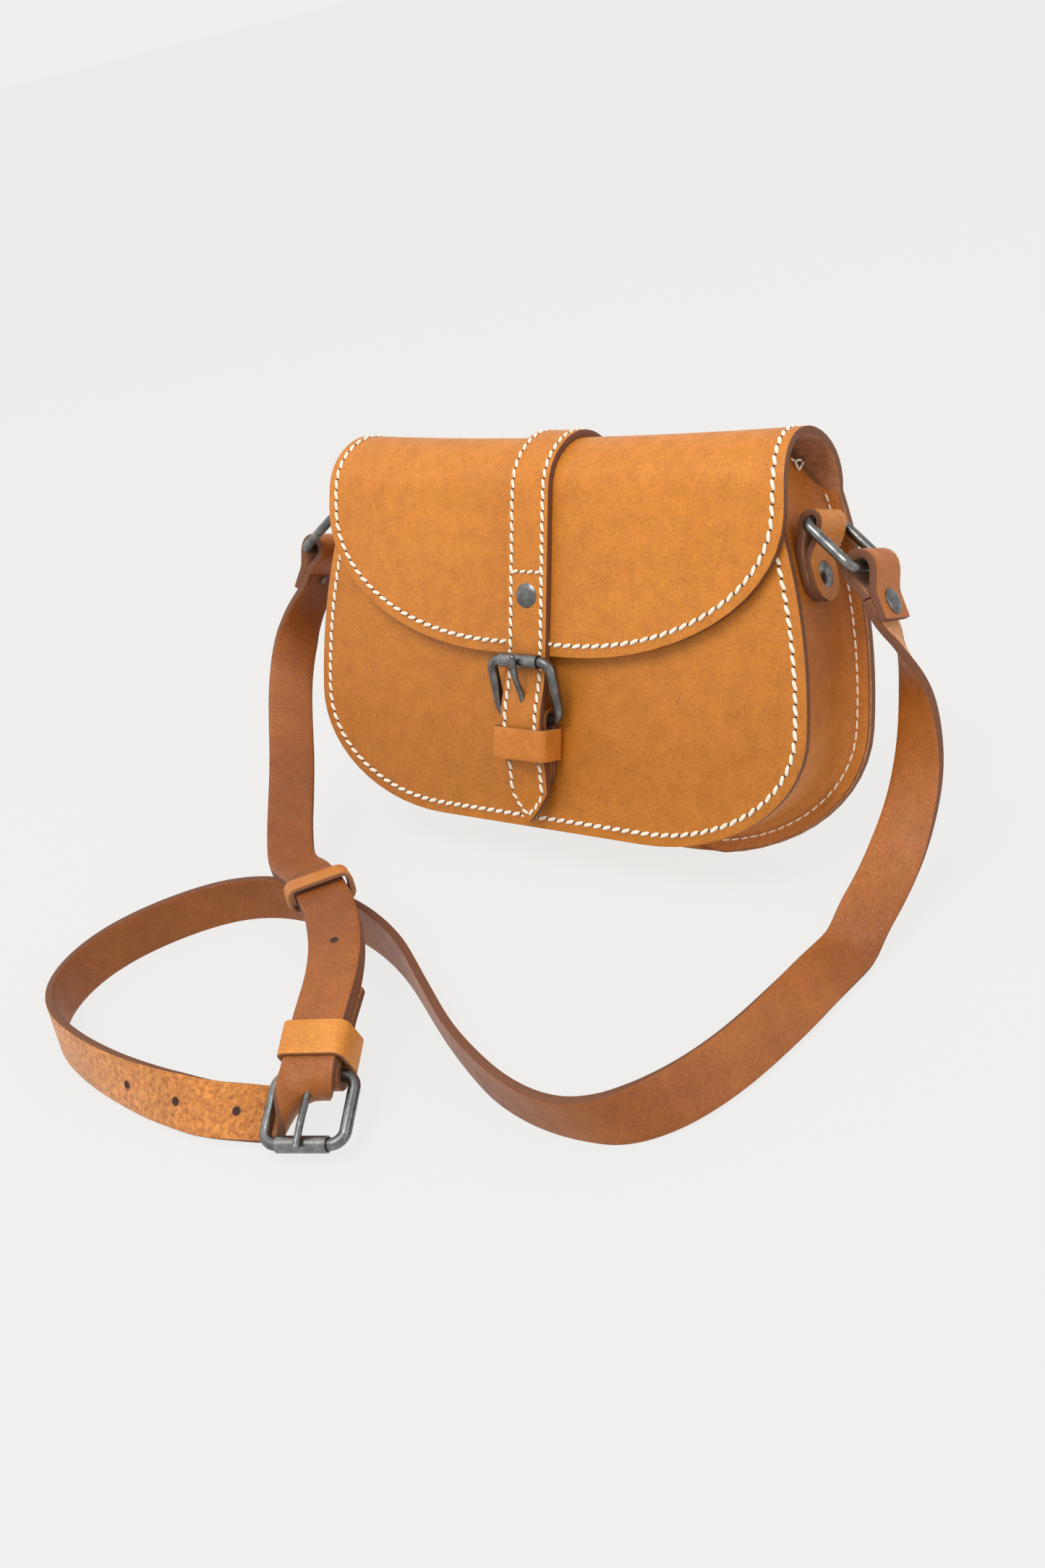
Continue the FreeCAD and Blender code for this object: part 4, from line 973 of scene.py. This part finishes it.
def by_heel(along, up):
    """Point beside the strap buckle's heel bar."""
    return BUCKLE_HEEL + STACK_RUN * along + STACK_UP * up


HUMP = [
    (by_heel(18.0, HEEL_WRAP - 0.2), STACK_WIDE),
    (V((3.8, -162.5, 33.4)), V((0.88, 0.47, 0.0))),
    (V((-5.6, -148.8, 36.4)), V((0.80, 0.60, 0.0))),
    (V((-22.0, -133.0, 37.6)), V((0.66, 0.75, 0.0))),
    (V((-64.0, -104.0, 31.6)), V((0.57, 0.82, 0.0))),
]
HUMP_RUN = unit(HUMP[4][0] - HUMP[3][0])


def lifted(index, up):
    """Station of the strap over the buckle, raised square to its face."""
    before = HUMP[max(index - 1, 0)][0]
    after = HUMP[min(index + 1, 4)][0]
    face = unit(HUMP[index][1]).cross(unit(after - before))
    return HUMP[index][0] + face * up


def short_stations():
    """Short strap: folded end, turn round the heel bar, hump, then up to the left ring."""
    under = [(lifted(1, -STEP), HUMP[1][1], 0), (lifted(0, -STEP), HUMP[0][1], 0),
             (by_heel(7.5, -HEEL_WRAP + 0.1), STACK_WIDE, 0),
             (by_heel(-HEEL_WRAP, -HEEL_WRAP), STACK_WIDE, 0),
             (by_heel(-HEEL_WRAP, HEEL_WRAP), STACK_WIDE, 0)]
    over = [(p, w, 0) for p, w in HUMP]
    drop = [
        ((-88.5, -92.0, 24.8), (0.70, 0.71, 0.0), 0),
        ((-103.0, -75.5, 30.0), (0.78, 0.62, -0.05), 0),
        ((-113.0, -60.5, 38.0), (0.79, 0.59, -0.15), 0),
        ((-123.5, -45.0, 47.0), (0.79, 0.58, -0.20), 0),
        ((-134.5, -30.5, 56.0), (0.77, 0.60, -0.22), 0),
        ((-144.0, -16.5, 66.0), (0.70, 0.68, -0.22), 0),
        ((-150.0, -3.0, 77.5), (0.50, 0.82, -0.28), 0),
        ((-150.5, 9.5, 90.5), (0.22, 0.92, -0.34), 0),
        (LEFT_START, DEPTH_DIR, 0),
        (end_at(JOIN, -LAYER, -1), DEPTH_DIR, 0),
    ]
    return under + over + drop


CURL_IN = V((4.5, -204.0, 6.0))
CURL_IN_RUN = unit((0.93, 0.22, 0.25))
CURL_IN_WIDE = unit((-0.22, 0.90, 0.38))
TIP_OVER_HEEL = by_heel(0.0, HEEL_WRAP + STEP)


def curl_stations(count=7, pull=36.0):
    """The strap turning up through the buckle."""
    rows = [(CURL_IN, CURL_IN_WIDE, 0)]
    for k in range(1, count):
        t = k / count
        p = (CURL_IN * (2 * t ** 3 - 3 * t ** 2 + 1) + CURL_IN_RUN * ((t ** 3 - 2 * t ** 2 + t) * pull)
             + TIP_OVER_HEEL * (3 * t ** 2 - 2 * t ** 3) + STACK_RUN * ((t ** 3 - t ** 2) * pull))
        rows.append((p, CURL_IN_WIDE * (1 - t) + STACK_WIDE * t, 0))
    return rows + [(TIP_OVER_HEEL, STACK_WIDE, 0)]


def punched_hole(name, centre, wide, face):
    """Punched hole, a little dished, on both sides of the strap: a ring of cut edge round a dark disc of
    painted shade for its mouth.
    """
    along = face.cross(wide)
    verts = []
    faces = []
    for side in (-1, 1):
        first = len(verts)
        for radius, lift in ((1.8, 0.05), (1.45, 0.14), (1.2, 0.09), (0.0, 0.07)):
            for k in range(14):
                a = 2 * math.pi * k / 14
                verts.append(centre + face * (side * (STRAP / 2 + lift))
                             + wide * (math.cos(a) * radius) + along * (math.sin(a) * radius))
        for ring in range(3):
            for k in range(14):
                k2 = (k + 1) % 14
                faces.append((first + ring * 14 + k, first + ring * 14 + k2,
                              first + ring * 14 + 14 + k2, first + ring * 14 + 14 + k))
    obj = mesh_object(name, verts, faces, (EDGE, HOLE_SHADE))
    # outer ring of each side is cut edge, the inner rings are painted shade
    for number, poly in enumerate(obj.data.polygons):
        poly.material_index = 0 if (number // 14) % 3 == 0 else 1
    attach(obj, "bag")


def make_shoulder_strap():
    """Long strap from the right ring to its tip, then the short one on the left."""
    over = [(lifted(i, STEP), HUMP[i][1], 0) for i in range(4)]
    end = HUMP[3][0].lerp(HUMP[4][0], 0.72) + (lifted(3, STEP) - HUMP[3][0])
    root = end_at(JOIN, -LAYER, 1)
    stations = [(root, DEPTH_DIR, 0)] + RIGHT_DROP + FLOOR_RUN + curl_stations() + over
    stations.append((end, HUMP[4][1], 0))
    frames = even_frames(sample_route(stations), calm=730.0)
    centres = [f[0] for f in frames]
    wides = [f[1] for f in frames]
    run = polyline_lengths(centres)
    half = [HALF if run[-1] - s > 6 else max(6.5, HALF * (0.72 + 0.28 * (run[-1] - s) / 6)) for s in run]
    obj = strip("shoulder_strap", centres, wides, half, STRAP, STRAP_SET,
                ("strap_drop_right", "strap_loop", "strap_tip"), "bag", across=9)

    pin = min(range(len(centres)), key=lambda i: (centres[i] - by_heel(4.0, HEEL_WRAP + STEP)).length)
    for number, away in enumerate((-100.0, -75.0, -50.0, 50.0)):
        at = min(range(len(run)), key=lambda i: abs(run[i] - run[pin] - away))
        punched_hole("strap_hole_%d" % number, *frames[at])

    frames = even_frames(sample_route(short_stations(), {3: HEEL_WRAP, 4: HEEL_WRAP}), step=1.6,
                         soften=1)
    centres = [f[0] for f in frames]
    wides = [f[1] for f in frames]
    strip("buckle_strap", centres, wides, HALF, STRAP, STRAP_SET, ("short_strap",), "bag", across=9)


def make_keepers():
    mid = by_heel(9.6, 0)

    def low(a, b, c):
        return mid + STACK_WIDE * a + STACK_UP * b + STACK_RUN * c

    top = HEEL_WRAP + STEP + STRAP / 2 + 1.2
    keeper_band("lower_keeper_leather", "keeper_lower", "bag", low,
                rounded_section(-11.7, -7.0, 11.7, top, 3.0), 13.0)
    wide = unit(V((0.615, 0.785, 0.0)) - HUMP_RUN * V((0.615, 0.785, 0.0)).dot(HUMP_RUN))
    up = wide.cross(HUMP_RUN)
    centre = HUMP[3][0] + HUMP_RUN * 25.0

    def high(a, b, c):
        return centre + wide * a + up * b + HUMP_RUN * c

    keeper_band("upper_keeper_leather", "keeper_upper", "sliding_keeper", high,
                rounded_section(-12.5, -3.2, 12.5, STEP + STRAP / 2 + 2.5, 3.4), 10.0)


# ---------------------------------------------------------------- hardware keeps its CAD shape
def dress_hardware():
    names = ["buckle_frame", "buckle_roller", "buckle_prong", "strap_buckle_frame",
             "strap_buckle_roller", "strap_buckle_prong", "flap_rivet"]
    for side in ("right", "left"):
        names += ["ring_" + side, "tab_rivet_" + side, "strap_rivet_" + side]
    for name in names:
        obj = NODES[name]
        obj.data.materials.clear()
        obj.data.materials.append(METAL)


# ---------------------------------------------------------------- camera, floor, light
def make_stage():
    """Pale shadowless floor that meets a wall of the same colour, and soft light from above in front."""
    bpy.ops.mesh.primitive_plane_add(size=400, location=(0, 0, 0))
    floor = bpy.context.object
    floor.name = "floor"
    n = Nodes("floor_paper")
    n.bsdf.inputs["Base Color"].default_value = (0.06, 0.06, 0.059, 1)
    n.bsdf.inputs["Roughness"].default_value = 1.0
    n.bsdf.inputs["Specular IOR Level"].default_value = 0.0
    n.bsdf.inputs["Emission Color"].default_value = PAPER
    n.bsdf.inputs["Emission Strength"].default_value = 0.92
    floor.data.materials.append(n.mat)
    world = bpy.data.worlds.new("studio")
    bpy.context.scene.world = world
    world.use_nodes = True
    sky = world.node_tree.nodes["Background"]
    sky.inputs["Color"].default_value = PAPER
    sky.inputs["Strength"].default_value = 1.0
    for name, place, size, power in (("key", (0.1, -0.85, 1.7), 0.9, 17.0),
                                     ("fill", (-1.3, -0.5, 0.9), 1.2, 3.0),
                                     ("side", (1.4, 0.1, 0.7), 0.8, 3.0)):
        data = bpy.data.lights.new(name, "AREA")
        data.size = size
        data.energy = power
        lamp = bpy.data.objects.new(name, data)
        bpy.context.collection.objects.link(lamp)
        lamp.location = place
        aim = V((0.0, -0.05, 0.08)) - V(place)
        lamp.rotation_euler = aim.to_track_quat("-Z", "Y").to_euler()
    bpy.context.scene.view_settings.view_transform = "Standard"


def make_camera():
    data = bpy.data.cameras.new("camera")
    cam = bpy.data.objects.new("camera", data)
    bpy.context.collection.objects.link(cam)
    right = V((0.793, 0.5694, -0.2165)).normalized()
    ahead = V((-0.5986, 0.6624, -0.4505)).normalized()
    up = right.cross(ahead).normalized()
    right = ahead.cross(up)
    turn = Matrix((right, up, -ahead)).transposed().to_4x4()
    cam.matrix_world = Matrix.Translation(V((0.3911, -0.4680, 0.3384))) @ turn
    data.sensor_width = 36.0
    data.lens = 36.53
    data.clip_start = 0.01
    bpy.context.scene.camera = cam


make_camera()
make_stage()
make_front_panel()
make_gusset()
make_hide()
make_closure_strap()
make_chape()
make_front_keeper()
for side, sign in (("right", 1), ("left", -1)):
    make_tab(side, sign)
    make_strap_end(side, sign)
make_shoulder_strap()
make_keepers()
dress_hardware()
